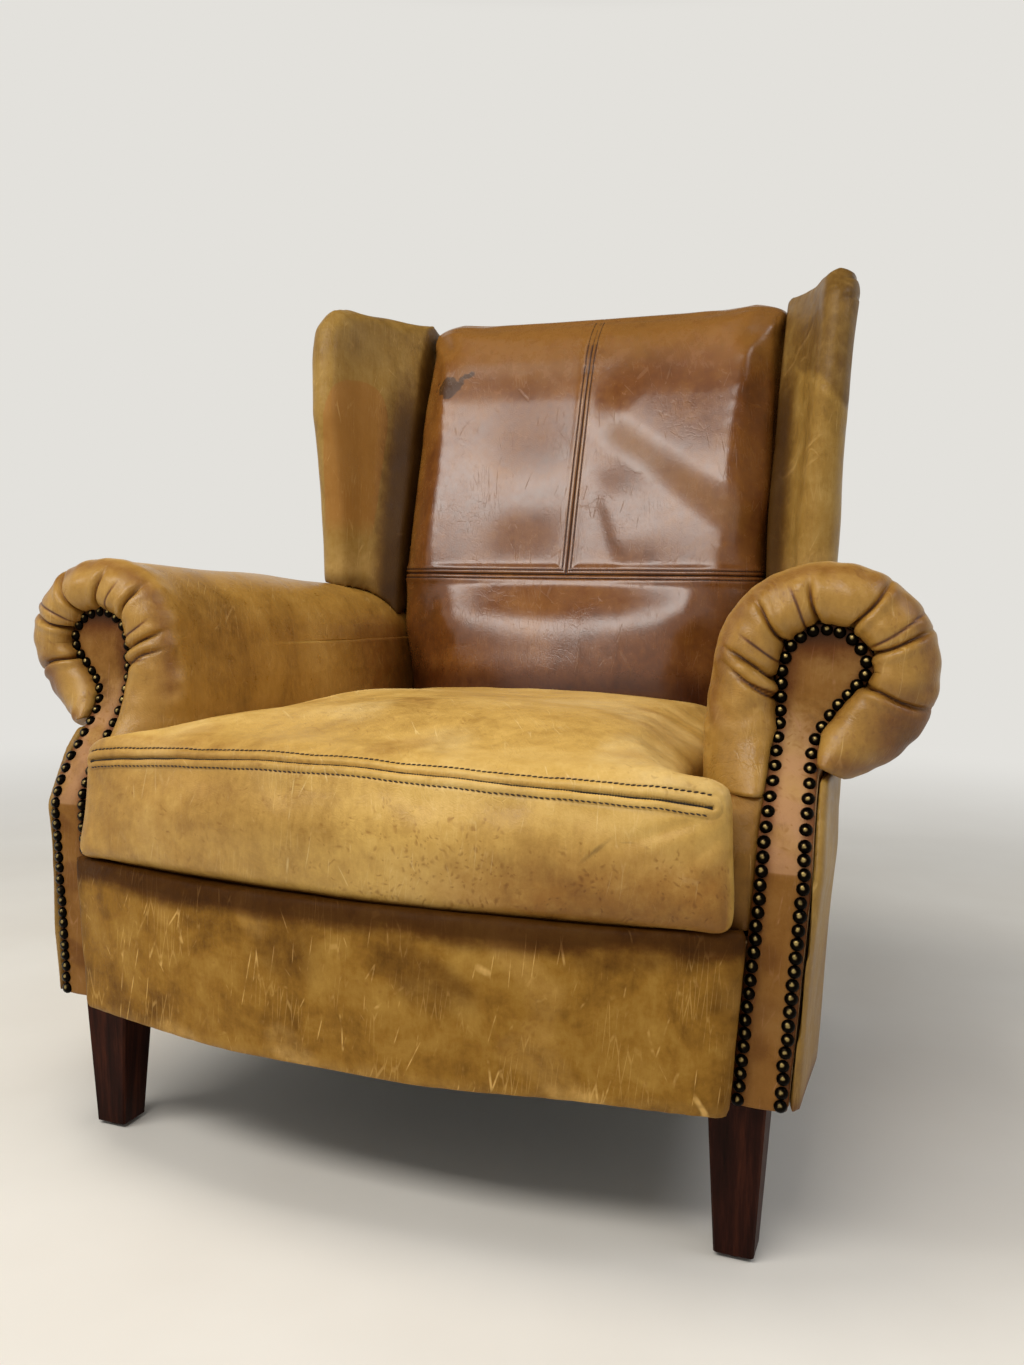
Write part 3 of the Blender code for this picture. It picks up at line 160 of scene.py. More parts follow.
def weave(name, light, dark, thread):
    """Plain weave: threads over and under one another, each a stated width across."""
    material, tree, place = start_material(name)
    wave = {"Vector": place, "Scale": 0.16 / thread, "Distortion": 0.6, "Detail": 2.0, "Detail Scale": 3.0}
    waves = [add_node(tree, "TexWave", wave, output="Fac", bands_direction=axis) for axis in ("X", "Y")]
    cross = add_node(tree, "Math MULTIPLY", waves)
    end_material(tree, {
        "Base Color": add_node(tree, "ValToRGB", (cross,), [(0.0, dark), (0.6, light)]), "Roughness": 0.9,
        "Normal": add_node(tree, "Bump", {"Height": cross, "Strength": 0.6, "Distance": thread * 0.4}),
    })
    return material


webs = [f"seat_web_{n}" for n in range(1, 5)] + [f"seat_cross_web_{n}" for n in range(1, 4)]
webs += [f"back_web_{n}" for n in range(1, 4)]
finish_nodes(webs, weave("jute webbing", "#B79B6E", "#6E5A3A", 0.003))
finish_nodes(["seat_deck"], weave("hessian", "#B09B74", "#6B5B3F", 0.0025))
finish_nodes(["dust_cover"], weave("black cambric", "#2A2A2B", "#0E0E0F", 0.0016))


# Outside panels
# Thin tan leather over the outside arms, wings and back, blind-tacked along the top edge.
# The hidden sides of the chair: scuffed and darkened like the rest, without folds.

def scene_object(name, mesh):
    made = bpy.data.objects.new(name, mesh)
    bpy.context.scene.collection.objects.link(made)
    return made


def choose(piece):
    """Makes one piece the only thing that is selected."""
    bpy.ops.object.select_all(action="DESELECT")
    piece.select_set(True)
    bpy.context.view_layer.objects.active = piece


def edit_all(piece, operator, **settings):
    """Runs one mesh operator on the whole of a piece."""
    choose(piece)
    bpy.ops.object.mode_set(mode="EDIT")
    bpy.ops.mesh.select_all(action="SELECT")
    operator(**settings)
    bpy.ops.object.mode_set(mode="OBJECT")


def apply_modifier(piece, kind, **settings):
    choose(piece)
    modifier = piece.modifiers.new("shaping", kind)
    for key, value in settings.items():
        setattr(modifier, key, value)
    bpy.ops.object.modifier_apply(modifier=modifier.name)


def leather_blank(node, name, voxel, rounds):
    """An even mesh in the shape of a CAD solid, with its hard edges eased as leather eases them."""
    piece = scene_object(name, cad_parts[node].data.copy())
    edit_all(piece, bpy.ops.mesh.remove_doubles, threshold=0.00001)
    piece.data.materials.clear()
    apply_modifier(piece, "REMESH", mode="VOXEL", voxel_size=voxel, use_smooth_shade=True)
    apply_modifier(piece, "SMOOTH", factor=0.5, iterations=rounds)
    return piece


def points_of(piece):
    flat = np.empty(len(piece.data.vertices) * 3)
    piece.data.vertices.foreach_get("co", flat)
    return flat.reshape(-1, 3)


def normals_of(piece):
    flat = np.empty(len(piece.data.vertices) * 3)
    piece.data.vertex_normals.foreach_get("vector", flat)
    return flat.reshape(-1, 3)


def set_points(piece, points):
    piece.data.vertices.foreach_set("co", points.astype(np.float32).ravel())
    piece.data.update()


def swell(piece, height):
    """Moves every point along its own normal."""
    set_points(piece, points_of(piece) + normals_of(piece) * height[:, None])


def ripple(points, wavelength, seed):
    """Soft random unevenness of about one unit, with bumps of about the given size."""
    dice = np.random.default_rng(seed)
    total = np.zeros(len(points))
    count = 14
    for _ in range(count):
        way = dice.normal(size=3)
        way /= np.linalg.norm(way)
        turns = 2 * math.pi / (wavelength * dice.uniform(0.7, 1.6))
        total += np.cos(points @ way * turns + dice.uniform(0, 2 * math.pi))
    return total / math.sqrt(count / 2)


def step(low, high, value):
    """0 below low, 1 above high, and a smooth way between."""
    t = np.clip((value - low) / (high - low), 0, 1)
    return t * t * (3 - 2 * t)


def hump(value, width):
    return np.exp(-(value / width) ** 2)


def most(*values):
    """The largest of several values at each point."""
    return functools.reduce(np.maximum, values)


def paint_marks(piece, dirt_and_shade=0.0, wear=0.0, accent=0.0, freckled=0.0):
    """Stores where the leather is darkened by soil and by painted shade, made paler by rubbing or by a
    painted sheen, of another colour or a painted browner shade, or freckled.
    """
    size = len(piece.data.vertices)
    layer = piece.data.color_attributes.new("marks", "FLOAT_COLOR", "POINT")
    marks = np.ones((size, 4), dtype=np.float32)
    for channel, value in enumerate((dirt_and_shade, wear, accent, freckled)):
        marks[:, channel] = np.clip(value, 0, 1)
    layer.data.foreach_set("color", marks.ravel())


def seat_in_frame(piece, material, slot, *nodes):
    """Gives a finished piece its material and its place on the chair."""
    piece.data.materials.clear()
    piece.data.materials.append(material)
    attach(piece, "root")
    if nodes:
        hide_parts(*nodes)
    return piece


def aged_leather(
    name, dark, mid, light, accent="#4A3A2C", dirt_and_shade="#2A1606", stain="#9C6A30", pale="#E0BC78",
    spot_colour="#8A5E26", roughness=0.42, coat=0.1, freckles=0.6, scratches=0.5, blotch=0.16,
    contrast=1.0, seed=0.0, grain=1.0, dried=0.06, ior=1.42, specular=0.35,
):
    """Waxed aniline leather: full-grain cowhide whose dye has rubbed through with use.

    Dark, mid and light are the dye's tones; freckles, scratches and contrast say how worn it is,
    and dried says how much of its polish it has lost where it was rubbed.
    The grain is drawn at 2.4 mm, about twice the real size, so that it shows.
    """
    material, tree, place = start_material(name)
    add = functools.partial(add_node, tree)
    smooth = {"interpolation_type": "SMOOTHSTEP"}
    flat_cells = {"voronoi_dimensions": "2D"}
    flat_edges = {"voronoi_dimensions": "2D", "feature": "DISTANCE_TO_EDGE"}
    colours = {"data_type": "RGBA", "output": 2}
    spot = add("Mapping", {"Vector": place, "Location": (seed, seed * 0.7, -seed)})

    # The hide laid flat: both directions of this map lie across every face of the chair
    skin = add("CombineXYZ", {
        "X": add("VectorMath DOT_PRODUCT", (spot, (1.0, 0.8, 0.0)), output="Value"),
        "Y": add("VectorMath DOT_PRODUCT", (spot, (0.0, 0.6, 1.0)), output="Value"),
    })

    # Tones of the dye: broad blotches, a finer cloudiness and faint streaks of the hide's fibres
    broad = add("TexNoise", {
        "Vector": spot, "Scale": 1 / blotch, "Detail": 4.0, "Roughness": 0.6, "Distortion": 0.6,
    })
    cloudy = add("TexNoise", {
        "Vector": spot, "Scale": 42.0, "Detail": 7.0, "Roughness": 0.76, "Distortion": 0.2,
    })
    fibres = add("Mapping", {"Vector": spot, "Scale": (1.0, 1.0, 0.22), "Rotation": (0.15, 0.25, 0.0)})
    streaks = add("TexNoise", {"Vector": fibres, "Scale": 170.0, "Detail": 5.0, "Roughness": 0.7})
    tone = add("Math ADD", (add("Math MULTIPLY", (broad, 0.52)), add("Math MULTIPLY", (cloudy, 0.33))))
    tone = add("Math ADD", (tone, add("Math MULTIPLY", (streaks, 0.15))))
    tone = add("Math MULTIPLY", (add("Math SUBTRACT", (tone, 0.5)), contrast))
    tone = add("Math ADD", (tone, 0.5))
    colour = add("ValToRGB", (tone,), [(0.34, dark), (0.5, mid), (0.66, light)])

    attribute = add("Attribute", output="Color", attribute_name="marks")
    dirt_and_shade_mask, rubbed, other = add("SeparateColor", (attribute,)).node.outputs
    edge_noise = add("TexNoise", {"Vector": spot, "Scale": 60.0, "Detail": 6.0, "Roughness": 0.7})
    edge_noise = add("Math SUBTRACT", (edge_noise, 0.5))

    # Where the piece was rubbed pale or painted with a sheen, and where it took another colour or a painted
    # browner shade
    broken = add("Math ADD", (add("Math MULTIPLY", (edge_noise, 1.8)), 1.0))
    rub = add("MapRange", (add("Math MULTIPLY", (rubbed, broken)), 0.05, 0.95), **smooth)
    colour = add("Mix", {0: add("Math MULTIPLY", (rub, 0.75)), 6: colour, 7: linear(pale)}, **colours)
    other = add("Math ADD", (other, add("Math MULTIPLY", (edge_noise, 0.35))))
    other = add("MapRange", (other, 0.25, 0.75), **smooth)
    colour = add("Mix", {0: add("Math MULTIPLY", (other, 0.72)), 6: colour, 7: linear(accent)}, **colours)

    # Freckles: soft brown spots of one to three millimetres, in patches
    warp = add("TexNoise", {"Vector": spot, "Scale": 40.0, "Detail": 3.0}, output="Color")
    warped = add("VectorMath ADD", (skin, add("VectorMath MULTIPLY", (warp, (0.03, 0.03, 0.03)))))
    cells = add("TexVoronoi", {"Vector": warped, "Scale": 1 / 0.0056}, **flat_cells).node.outputs
    lot = add("SeparateColor", (cells["Color"],)).node.outputs
    patches = add("TexNoise", {"Vector": spot, "Scale": 9.0, "Detail": 3.0, "Roughness": 0.55})
    patches = add("MapRange", (patches, 0.45, 0.7), **smooth)
    density = add("Math ADD", (attribute.node.outputs["Alpha"], add("Math MULTIPLY", (patches, 0.3))))
    chosen = add("MapRange", (add("Math ADD", (lot[0], density)), 0.95, 1.3), **smooth)
    reach = add("Math ADD", (add("Math MULTIPLY", (lot[1], 0.34)), 0.12))
    spots = add("Math DIVIDE", (cells["Distance"], reach))
    spots = add("MapRange", (spots, 0.0, 1.5, 1.0, 0.0), **smooth)
    amount = add("Math MULTIPLY", (add("Math MULTIPLY", (spots, chosen)), freckles))
    colour = add("Mix", {0: amount, 6: colour, 7: linear(spot_colour)}, **colours)

    # Scratches: thin, straight pale lines, mostly upright, where long cells meet; hairlines between
    lines = []
    for tilt, across, along, width, rarity in (
        (0.10, 0.019, 0.17, 0.030, 0.53), (0.36, 0.026, 0.15, 0.026, 0.56),
        (-0.55, 0.030, 0.13, 0.022, 0.58), (0.05, 0.0055, 0.05, 0.070, 0.50),
    ):
        way = add("Mapping", {
            "Vector": skin, "Rotation": (0.0, 0.0, tilt), "Location": (tilt * 3, tilt, 0.0),
        })
        long_way = add("Mapping", {"Vector": way, "Scale": (1 / across, 1 / along, 1.0)})
        edge = add("TexVoronoi", {"Vector": long_way, "Scale": 1.0}, output="Distance", **flat_edges)
        line = add("MapRange", (edge, width * 0.3, width, 1.0, 0.0), **smooth)
        place = add("TexNoise", {"Vector": way, "Scale": 17.0, "Detail": 4.0, "Roughness": 0.65})
        place = add("MapRange", (place, rarity, rarity + 0.12), **smooth)
        lines.append(add("Math MULTIPLY", (line, place)))
    lines[3] = add("Math MULTIPLY", (lines[3], 0.4))
    scratch = functools.reduce(lambda a, b: add("Math MAXIMUM", (a, b)), lines)
    amount = add("Math MULTIPLY", (scratch, scratches))
    colour = add("Mix", {0: amount, 6: colour, 7: linear(pale)}, **colours)

    # Dirt and painted shade, from the first channel of the marks, in seams, creases, recesses and under
    # overhangs: first a warm brown cast, then nearly black
    dirt_and_shade_cast = add("Math MULTIPLY", (add("Math MULTIPLY", (edge_noise, dirt_and_shade_mask)), 1.2))
    dirt_and_shade_cast = add("MapRange", (add("Math ADD", (dirt_and_shade_mask, dirt_and_shade_cast)), 0.0, 0.75), **smooth)
    amount = add("Math MULTIPLY", (dirt_and_shade_cast, 0.8))
    colour = add("Mix", {0: amount, 6: colour, 7: linear(stain)}, blend_type="MULTIPLY", **colours)
    amount = add("MapRange", (dirt_and_shade_mask, 0.55, 1.0, 0.0, 0.92), **smooth)
    colour = add("Mix", {0: amount, 6: colour, 7: linear(dirt_and_shade)}, **colours)

    # Surface: pebbled grain, fine creases and the scratches cut into it
    pebbles = add("TexVoronoi", {"Vector": warped, "Scale": 1 / 0.0024}, output="Distance", **flat_cells)
    cracks = add("TexVoronoi", {"Vector": warped, "Scale": 1 / 0.012}, output="Distance", **flat_edges)
    cracks = add("MapRange", (cracks, 0.0, 0.09, 1.0, 0.0), **smooth)
    places = add("TexNoise", {"Vector": spot, "Scale": 13.0, "Detail": 3.0, "Roughness": 0.55})
    creases = add("Math MULTIPLY", (cracks, add("MapRange", (places, 0.5, 0.7), **smooth)))
    height = add("Math MULTIPLY", (pebbles, 0.30 * grain))
    height = add("Math SUBTRACT", (height, add("Math MULTIPLY", (creases, 0.5 * grain))))
    height = add("Math SUBTRACT", (height, add("Math MULTIPLY", (scratch, 0.35))))
    height = add("Math ADD", (height, add("Math MULTIPLY", (cloudy, 1.1 * grain ** 2))))
    bump = add("Bump", {"Height": height, "Strength": 0.55, "Distance": 0.0008})
    rough = add("MapRange", (cloudy, 0.3, 0.7, roughness - 0.09 * grain, roughness + 0.12 * grain), **smooth)
    dull = add("Math MULTIPLY", (add("Math MAXIMUM", (dirt_and_shade_mask, scratch)), 0.12))
    rough = add("Math ADD", (add("Math ADD", (rough, dull)), add("Math MULTIPLY", (rub, dried))))
    end_material(tree, {
        "Base Color": colour, "Roughness": rough, "Normal": bump, "IOR": ior, "Coat Weight": coat,
        "Coat Roughness": 0.3, "Coat Normal": bump, "Specular IOR Level": specular,
    })
    return material


panel_leather = aged_leather(
    "outside leather, waxed", "#6E4D20", "#93702F", "#AE8B48", roughness=0.46, freckles=0.35,
    scratches=0.35, seed=3.0,
)
panels = ["outside_back"]
for _, word in SIDES:
    panels += [f"outside_arm_{word}", f"outside_wing_{word}"]
for number, node in enumerate(panels):
    panel = leather_blank(node, node + "_leather", 0.0045, 3)
    place = points_of(panel)
    swell(panel, 0.0010 * ripple(place, 0.16, 20 + number))
    low = hump(place[:, 2] - place[:, 2].min(), 0.012)
    paint_marks(panel, dirt_and_shade=0.6 * low + 0.25 * step(0.3, 1.6, ripple(place, 0.2, 60 + number)))
    seat_in_frame(panel, panel_leather, "tan_leather", node)


# Arms
# Inside arm, roll and front band: one hide drawn over horsehair stuffing and gathered in
# pleats round the head of the arm, where the nails hold it.

FEET_Y = (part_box("glide_front_left")[0].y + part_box("glide_front_left")[1].y) / 2 - 0.0175
HEAD_X, HEAD_Z, HEAD_RADIUS = 0.3835, 0.510, 0.0355
KNEE_Z, NECK_Z, LEAN_END_Z = 0.345, 0.440, 0.480
FACING_Y, FACING_LEAN = -0.018, 0.076
FACING_MARGIN = 0.0079
ROLL_X, ROLL_Z, ROLL_INNER_REACH = 0.385, 0.511, 0.095
ROLL_RADIUS, ROLL_REAR_RADIUS = 0.092, 0.079
ROLL_LIP_ANGLE = -76
ARM_TOE_IN, TOE_START, TOE_END = 0.036, 0.102, 0.500
BAND_BULGE, BAND_BACK = 0.024, 0.075
HEM_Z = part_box("arm_facing_left")[0].z
ARM_FOOT_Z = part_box("inside_arm_left")[0].z
ARM_SEAM_Z = 0.405
ARM_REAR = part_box("inside_arm_left")[1].y - FEET_Y
BACK_PANEL_Y, BACK_PANEL_LEAN, BACK_BEND_Z = 0.6190, 0.200, 0.400
PATCH_FRONT, PATCH_X = 0.0404, 0.2835
NECK_FLARE = ((0.0, 0.0), (0.22, 0.06), (0.5, 0.34), (0.77, 0.72), (1.0, 1.0))
INNER_FACE = ((0.2972, 0.292), (0.36, 0.283), (0.40, 0.279), (0.43, 0.278), (0.47, 0.2825), (0.511, 0.290))

# How many points the arm's outline has, and how many rings follow it over the band and the roll
FOOT_POINTS, INNER_POINTS, ROLL_POINTS = 36, 56, 230
BAND_RINGS, ROLL_RINGS = 44, 66
JOINT_REACH, JOINT_PASSES = 14, 40


def through(table, value):
    return np.interp(value, [row[0] for row in table], [row[1] for row in table])


def facing_depth(z):
    """How far back the arm facing's front lies: upright to the knee, then leaning back."""
    return FACING_Y + FACING_LEAN * step(KNEE_Z, LEAN_END_Z, z)


def nail_side(z, outer, margin=0.0):
    """The keyhole line of the nails at a height: its inner or its outer side."""
    if outer:
        line = ((HEM_Z, 0.367), (KNEE_Z, 0.380), (NECK_Z, 0.377))
        flare = through(NECK_FLARE, (z - NECK_Z) / (HEAD_Z - NECK_Z))
        return through(line, z) * (1 - flare) + (HEAD_X + HEAD_RADIUS) * flare + margin
    return through(((HEM_Z, 0.332), (KNEE_Z, 0.3465), (HEAD_Z, HEAD_X - HEAD_RADIUS)), z) - margin


def toe(y):
    return -ARM_TOE_IN * np.clip((y - TOE_START) / (TOE_END - TOE_START), 0, 1)


def arm_rear(z):
    """The arm ends against the outside back, which leans back above the seat."""
    return np.minimum(ARM_REAR, BACK_PANEL_Y + BACK_PANEL_LEAN * np.maximum(0, z - BACK_BEND_Z))


def blend_to(a, b, share):
    return a + (b - a) * share


def arm_section():
    """The arm's outline from the foot of the inner side, over the roll, to its lip.

    Each row has a point on the keyhole line (x, z), a point on the roll (x, z) and the angle.
    """
    rows = []
    foot = np.linspace(ARM_FOOT_Z, ARM_SEAM_Z - 0.0015, FOOT_POINTS)
    for z in (*foot, *np.linspace(ARM_SEAM_Z, HEAD_Z, INNER_POINTS)[:-1]):
        key_x = nail_side(z, False, FACING_MARGIN)
        rows.append((key_x, z, through(INNER_FACE, z), z, 180.0 + (HEAD_Z - z) * 600))
    for angle in np.linspace(180, ROLL_LIP_ANGLE, ROLL_POINTS):
        a = math.radians(angle)
        reach = HEAD_RADIUS + FACING_MARGIN
        key = (HEAD_X + reach * math.cos(a), HEAD_Z + reach * math.sin(a))
        if angle < 0:
            z = blend_to(HEAD_Z, NECK_Z - 0.008, angle / ROLL_LIP_ANGLE)
            key = (nail_side(z, True, FACING_MARGIN), z)
        rows.append((*key, None, None, angle))
    return rows


def arm_grid():
    """Rings of points from the nail line, round the band and back along the roll."""
    section = arm_section()
    key = np.array([(row[0], row[1]) for row in section])
    angle = np.radians([min(180.0, row[4]) for row in section])
    on_leg = np.array([row[2] is not None for row in section])
    leg_x = np.array([row[2] if row[2] is not None else 0.0 for row in section])
    leg_z = np.array([row[3] if row[3] is not None else 0.0 for row in section])
    under_seam = on_leg & (leg_z < ARM_SEAM_Z)

    def outline(y):
        share = np.clip((y - BAND_BACK) / (TOE_END - BAND_BACK), 0, 1)
        radius = blend_to(ROLL_RADIUS, ROLL_REAR_RADIUS, share)
        reach = np.where(np.cos(angle) > 0, radius, ROLL_INNER_REACH)
        x = np.where(on_leg, leg_x, ROLL_X + reach * np.cos(angle)) + toe(y)
        z = np.where(on_leg, leg_z, ROLL_Z - 0.006 * share + radius * np.sin(angle))
        # Where the inner side meets the roll, the outline is evened out, so that no kink shows
        joint = np.count_nonzero(on_leg)
        before, here, after = (slice(joint + i - JOINT_REACH, joint + i + JOINT_REACH) for i in (-1, 0, 1))
        for _ in range(JOINT_PASSES):
            x[here] = (x[before] + 2 * x[here] + x[after]) / 4
        return x, z

    shown, hidden = [], []
    band_x, band_z = outline(BAND_BACK)
    for turn in np.linspace(0, math.pi, BAND_RINGS):
        radial = (1 - math.cos(turn)) / 2
        start = np.where(under_seam, PATCH_FRONT, facing_depth(key[:, 1]))
        bulge = np.where(under_seam, 0.0, BAND_BULGE * math.sin(turn))
        x = blend_to(key[:, 0], band_x, radial)
        y = blend_to(start, BAND_BACK, np.where(under_seam, radial ** 6, radial)) - bulge
        patch_x = blend_to(key[:, 0], blend_to(PATCH_X, band_x, radial ** 4), radial)
        x = np.where(under_seam, patch_x, x)
        shown.append(np.column_stack([x, y, blend_to(key[:, 1], band_z, radial)]))
        hidden.append(np.column_stack([key[:, 0], blend_to(start + 0.004, BAND_BACK, radial), key[:, 1]]))
    for share in np.linspace(0, 1, ROLL_RINGS)[1:]:
        y = blend_to(BAND_BACK, ARM_REAR, share)
        x, z = outline(y)
        shown.append(np.column_stack([x, blend_to(BAND_BACK, arm_rear(z), share), z]))
        hidden_y = blend_to(BAND_BACK, arm_rear(key[:, 1]), share)
        hidden.append(np.column_stack([key[:, 0] + toe(y), hidden_y, key[:, 1]]))
    return np.array(shown), np.array(hidden)


def sleeve(name, shown, hidden, side):
    """A closed mesh from an outer and an inner grid of points that share their edges' order."""
    rows, columns = shown.shape[:2]
    verts = np.concatenate([shown.reshape(-1, 3), hidden.reshape(-1, 3)]) * (side, 1, 1)
    verts[:, 1] += FEET_Y
    index = np.arange(rows * columns).reshape(rows, columns)
    inner = index + rows * columns

    def strips(a, b):
        return np.stack([a[:-1], a[1:], b[1:], b[:-1]], axis=-1).reshape(-1, 4)

    def squares(a):
        return np.stack([a[:-1, :-1], a[1:, :-1], a[1:, 1:], a[:-1, 1:]], axis=-1).reshape(-1, 4)

    quads = [squares(index), squares(inner)[:, [0, 3, 2, 1]]]
    quads += [strips(index[0], inner[0]), strips(inner[-1], index[-1])]
    quads += [strips(inner[:, 0], index[:, 0]), strips(index[:, -1], inner[:, -1])]
    mesh = bpy.data.meshes.new(name)
    mesh.from_pydata(verts.tolist(), [], np.concatenate(quads).tolist())
    piece = scene_object(name, mesh)
    edit_all(piece, bpy.ops.mesh.normals_make_consistent, inside=False)
    bpy.ops.object.shade_smooth()
    return piece


# Each pleat runs from its outer end to its inner end at the nails (x, z), with its depth
PLEATS = (
    ((0.300, 0.512), (0.347, 0.484), 0.0040), ((0.301, 0.528), (0.348, 0.494), 0.0060),
    ((0.322, 0.572), (0.357, 0.526), 0.0065), ((0.374, 0.594), (0.380, 0.546), 0.0060),
    ((0.436, 0.590), (0.408, 0.546), 0.0065), ((0.476, 0.548), (0.421, 0.527), 0.0065),
    ((0.474, 0.478), (0.414, 0.498), 0.0070), ((0.352, 0.586), (0.362, 0.556), 0.0008),
    ((0.472, 0.562), (0.432, 0.541), 0.0012), ((0.306, 0.500), (0.336, 0.490), 0.0007),
    ((0.310, 0.545), (0.332, 0.524), 0.0007),
)


def pleat_shape(place, band_share, seed):
    """Height of the gathers round the head of the arm, at points (x, z), and the darkening of their creases:
    soil, and painted shade.
    """
    dice = np.random.default_rng(seed)
    height = np.zeros(len(place))
    dirt_and_shade = np.zeros(len(place))
    nearest = np.full(len(place), 1.0)
    for outer, inner, depth in PLEATS:
        outer = np.array(outer) + dice.normal(0, 0.002, 2)
        inner = np.array(inner) + dice.normal(0, 0.001, 2)
        run = inner - outer
        length = np.linalg.norm(run)
        run /= length
        along = (place - outer) @ run
        wander = 0.0022 * np.sin(along * dice.uniform(60, 90) + dice.uniform(0, 6))
        off = (place - outer) @ np.array([-run[1], run[0]]) + wander
        reach = step(-0.004, 0.020, along) * step(length + 0.024, length + 0.004, along)
        reach = reach * band_share
        height -= depth * hump(off, 0.0017) * reach
        height += depth * 0.42 * hump(off - 0.0062, 0.0045) * reach
        height += depth * 0.22 * hump(off + 0.0070, 0.0055) * reach
        dirt_and_shade = most(dirt_and_shade, hump(off, 0.0014) * reach)
        if depth > 0.003:
            nearest = np.minimum(nearest, np.abs(off) + 0.02 * (1 - reach))
    height += 0.0026 * step(0.002, 0.018, nearest) * band_share
    return height, dirt_and_shade


arm_leather = aged_leather(
    "arm leather, waxed", "#74501E", "#A67C35", "#C0974D", roughness=0.34, coat=0.1, freckles=0.6,
    scratches=0.3, seed=1.0, contrast=0.9, specular=0.5,
)
shown_grid, hidden_grid = arm_grid()
for side, word in SIDES:
    arm = sleeve(f"inside_arm_leather_{word}", shown_grid, hidden_grid, side)
    place = points_of(arm)
    count = shown_grid.shape[0] * shown_grid.shape[1]
    shown_mask = np.arange(len(place)) < count
    depth = place[:, 1] - FEET_Y
    x, z = place[:, 0] * side, place[:, 2]
    band = shown_mask * step(0.105, 0.060, depth) * step(0.432, 0.46, z + 0.05 * step(0.39, 0.41, x))
    height, folds = pleat_shape(np.column_stack([x, z]), band, 7 if side > 0 else 8)
    soft = shown_mask * step(-0.03, 0.03, depth)
    fine = band * 0.0005 * ripple(place, 0.022, 15 + side)
    height += soft * 0.0014 * ripple(place, 0.16, 5 + side) + fine
    swell(arm, height)
    rear = step(0.30, 0.50, depth)
    inner_side = step(0.34, 0.28, x)
    foot = step(0.47, 0.40, z) * inner_side
    # Painted shade at the mouth of the recess round the facing's head and under the roll, with more across
    # the lower outer part of the scroll. Darker also in the pleats' creases, with soil and painted shade, and
    # low on the inner side, most towards its rear.
    mouth = hump(depth - facing_depth(z) + 0.002, 0.010) * step(0.44, 0.47, z)
    lip = hump(z - 0.432, 0.010) * step(0.37, 0.40, x)
    lip = most(lip, 1.4 * step(0.53, 0.46, z) * step(0.40, 0.45, x))
    dirt_and_shade = most(
        folds * 0.95, 0.65 * rear * inner_side * step(0.58, 0.50, z), 0.5 * foot * step(0.05, 0.12, depth),
        0.45 * mouth, 0.5 * lip,
    )
    freckled = 0.35 * step(0.2, 1.4, ripple(place, 0.14, 17 + side)) + 0.25 * step(0.42, 0.46, x)
    crown = 0.35 * step(0.590, 0.603, z) * step(0.0, 0.1, depth)
    paint_marks(arm, dirt_and_shade=dirt_and_shade, wear=crown, freckled=freckled)
    seat_in_frame(arm, arm_leather, "tan_leather", f"inside_arm_{word}")


# Arm fronts
# A narrow leather facing on each front post, and a small stuffed piece beside the cushion.
# The facings' upper part, leaning back above the knee, is painted pinker as a sheen; foot and head browner as
# shade.

# Pale is the painted sheen on the upper part of each facing; accent is the painted shade below the knee and
# at the head.
facing_leather = aged_leather(
    "facing leather, painted sheen and shade", "#6E481C", "#9A7039", "#AE8750", accent="#7E5119", pale="#AE825C",
    roughness=0.45, freckles=0.7, blotch=0.07, seed=5.0, contrast=1.6, coat=0.03, specular=0.2,
)
patch_leather = aged_leather(
    "arm front leather, darkened", "#5A3A12", "#845D25", "#A0773A", roughness=0.4, freckles=0.5,
    scratches=0.3, seed=6.0, coat=0.03, specular=0.2,
)
for side, word in SIDES:
    facing = leather_blank(f"arm_facing_{word}", f"arm_facing_leather_{word}", 0.0022, 4)
    place = points_of(facing)
    x, z = place[:, 0] * side, place[:, 2]
    inner_x, outer_x = nail_side(z, False), nail_side(z, True)
    half = (outer_x - inner_x) / 2 + 0.004
    aside = (x - (inner_x + outer_x) / 2) / half
    front = (normals_of(facing)[:, 1] < -0.5) * 1.0
    place[:, 1] -= front * 0.0022 * (1 - np.clip(aside, -1, 1) ** 2)
    set_points(facing, place)
    # Painted sheen: paler and pinker on the upper part, which leans back above the knee.
    sheen_above_knee = step(0.343, 0.349, z) * step(0.50, 0.41, z) * (0.75 + 0.25 * ripple(place, 0.03, 11 + side))
    worn_dark = 0.35 * step(-0.3, 1.2, ripple(place, 0.045, 13 + side)) * step(0.36, 0.33, z)
    # Painted shadow at the head, under the hood of the band, and down the inner side, beside the band; darker
    # also along both edges by the nails, with worn dark marks low down.
    head, edge = step(0.50, 0.545, z), step(0.45, 0.95, np.abs(aside))
    dirt_and_shade = most(0.9 * head, 0.62 * edge, worn_dark, 0.7 * step(-0.1, -0.9, aside))
    # Painted shade: browner below the knee and at the head.
    shade_below_knee_and_head = step(0.350, 0.344, z) + 0.6 * step(0.43, 0.50, z)
    paint_marks(facing, dirt_and_shade=dirt_and_shade, accent=shade_below_knee_and_head, wear=sheen_above_knee, freckled=0.25 + 0.3 * step(0.36, 0.5, z))
    seat_in_frame(facing, facing_leather, "tan_leather", f"arm_facing_{word}")
    patch = leather_blank(f"arm_front_patch_{word}", f"arm_front_patch_leather_{word}", 0.0026, 5)
    place = points_of(patch)
    swell(patch, 0.0022 + 0.0006 * ripple(place, 0.05, 9 + side))
    paint_marks(patch, dirt_and_shade=0.7 * step(0.40, 0.404, place[:, 2]) + 0.4 * step(0.33, 0.30, place[:, 2]))
    seat_in_frame(patch, patch_leather, "tan_leather", f"arm_front_patch_{word}")


# Nails
# Domed upholstery nails of antiqued brass, 11 mm across, set almost touching along the
# keyhole line. The patina is nearly black, and the brass shows as a painted glint on each dome,
# where it faces forward and a little up.

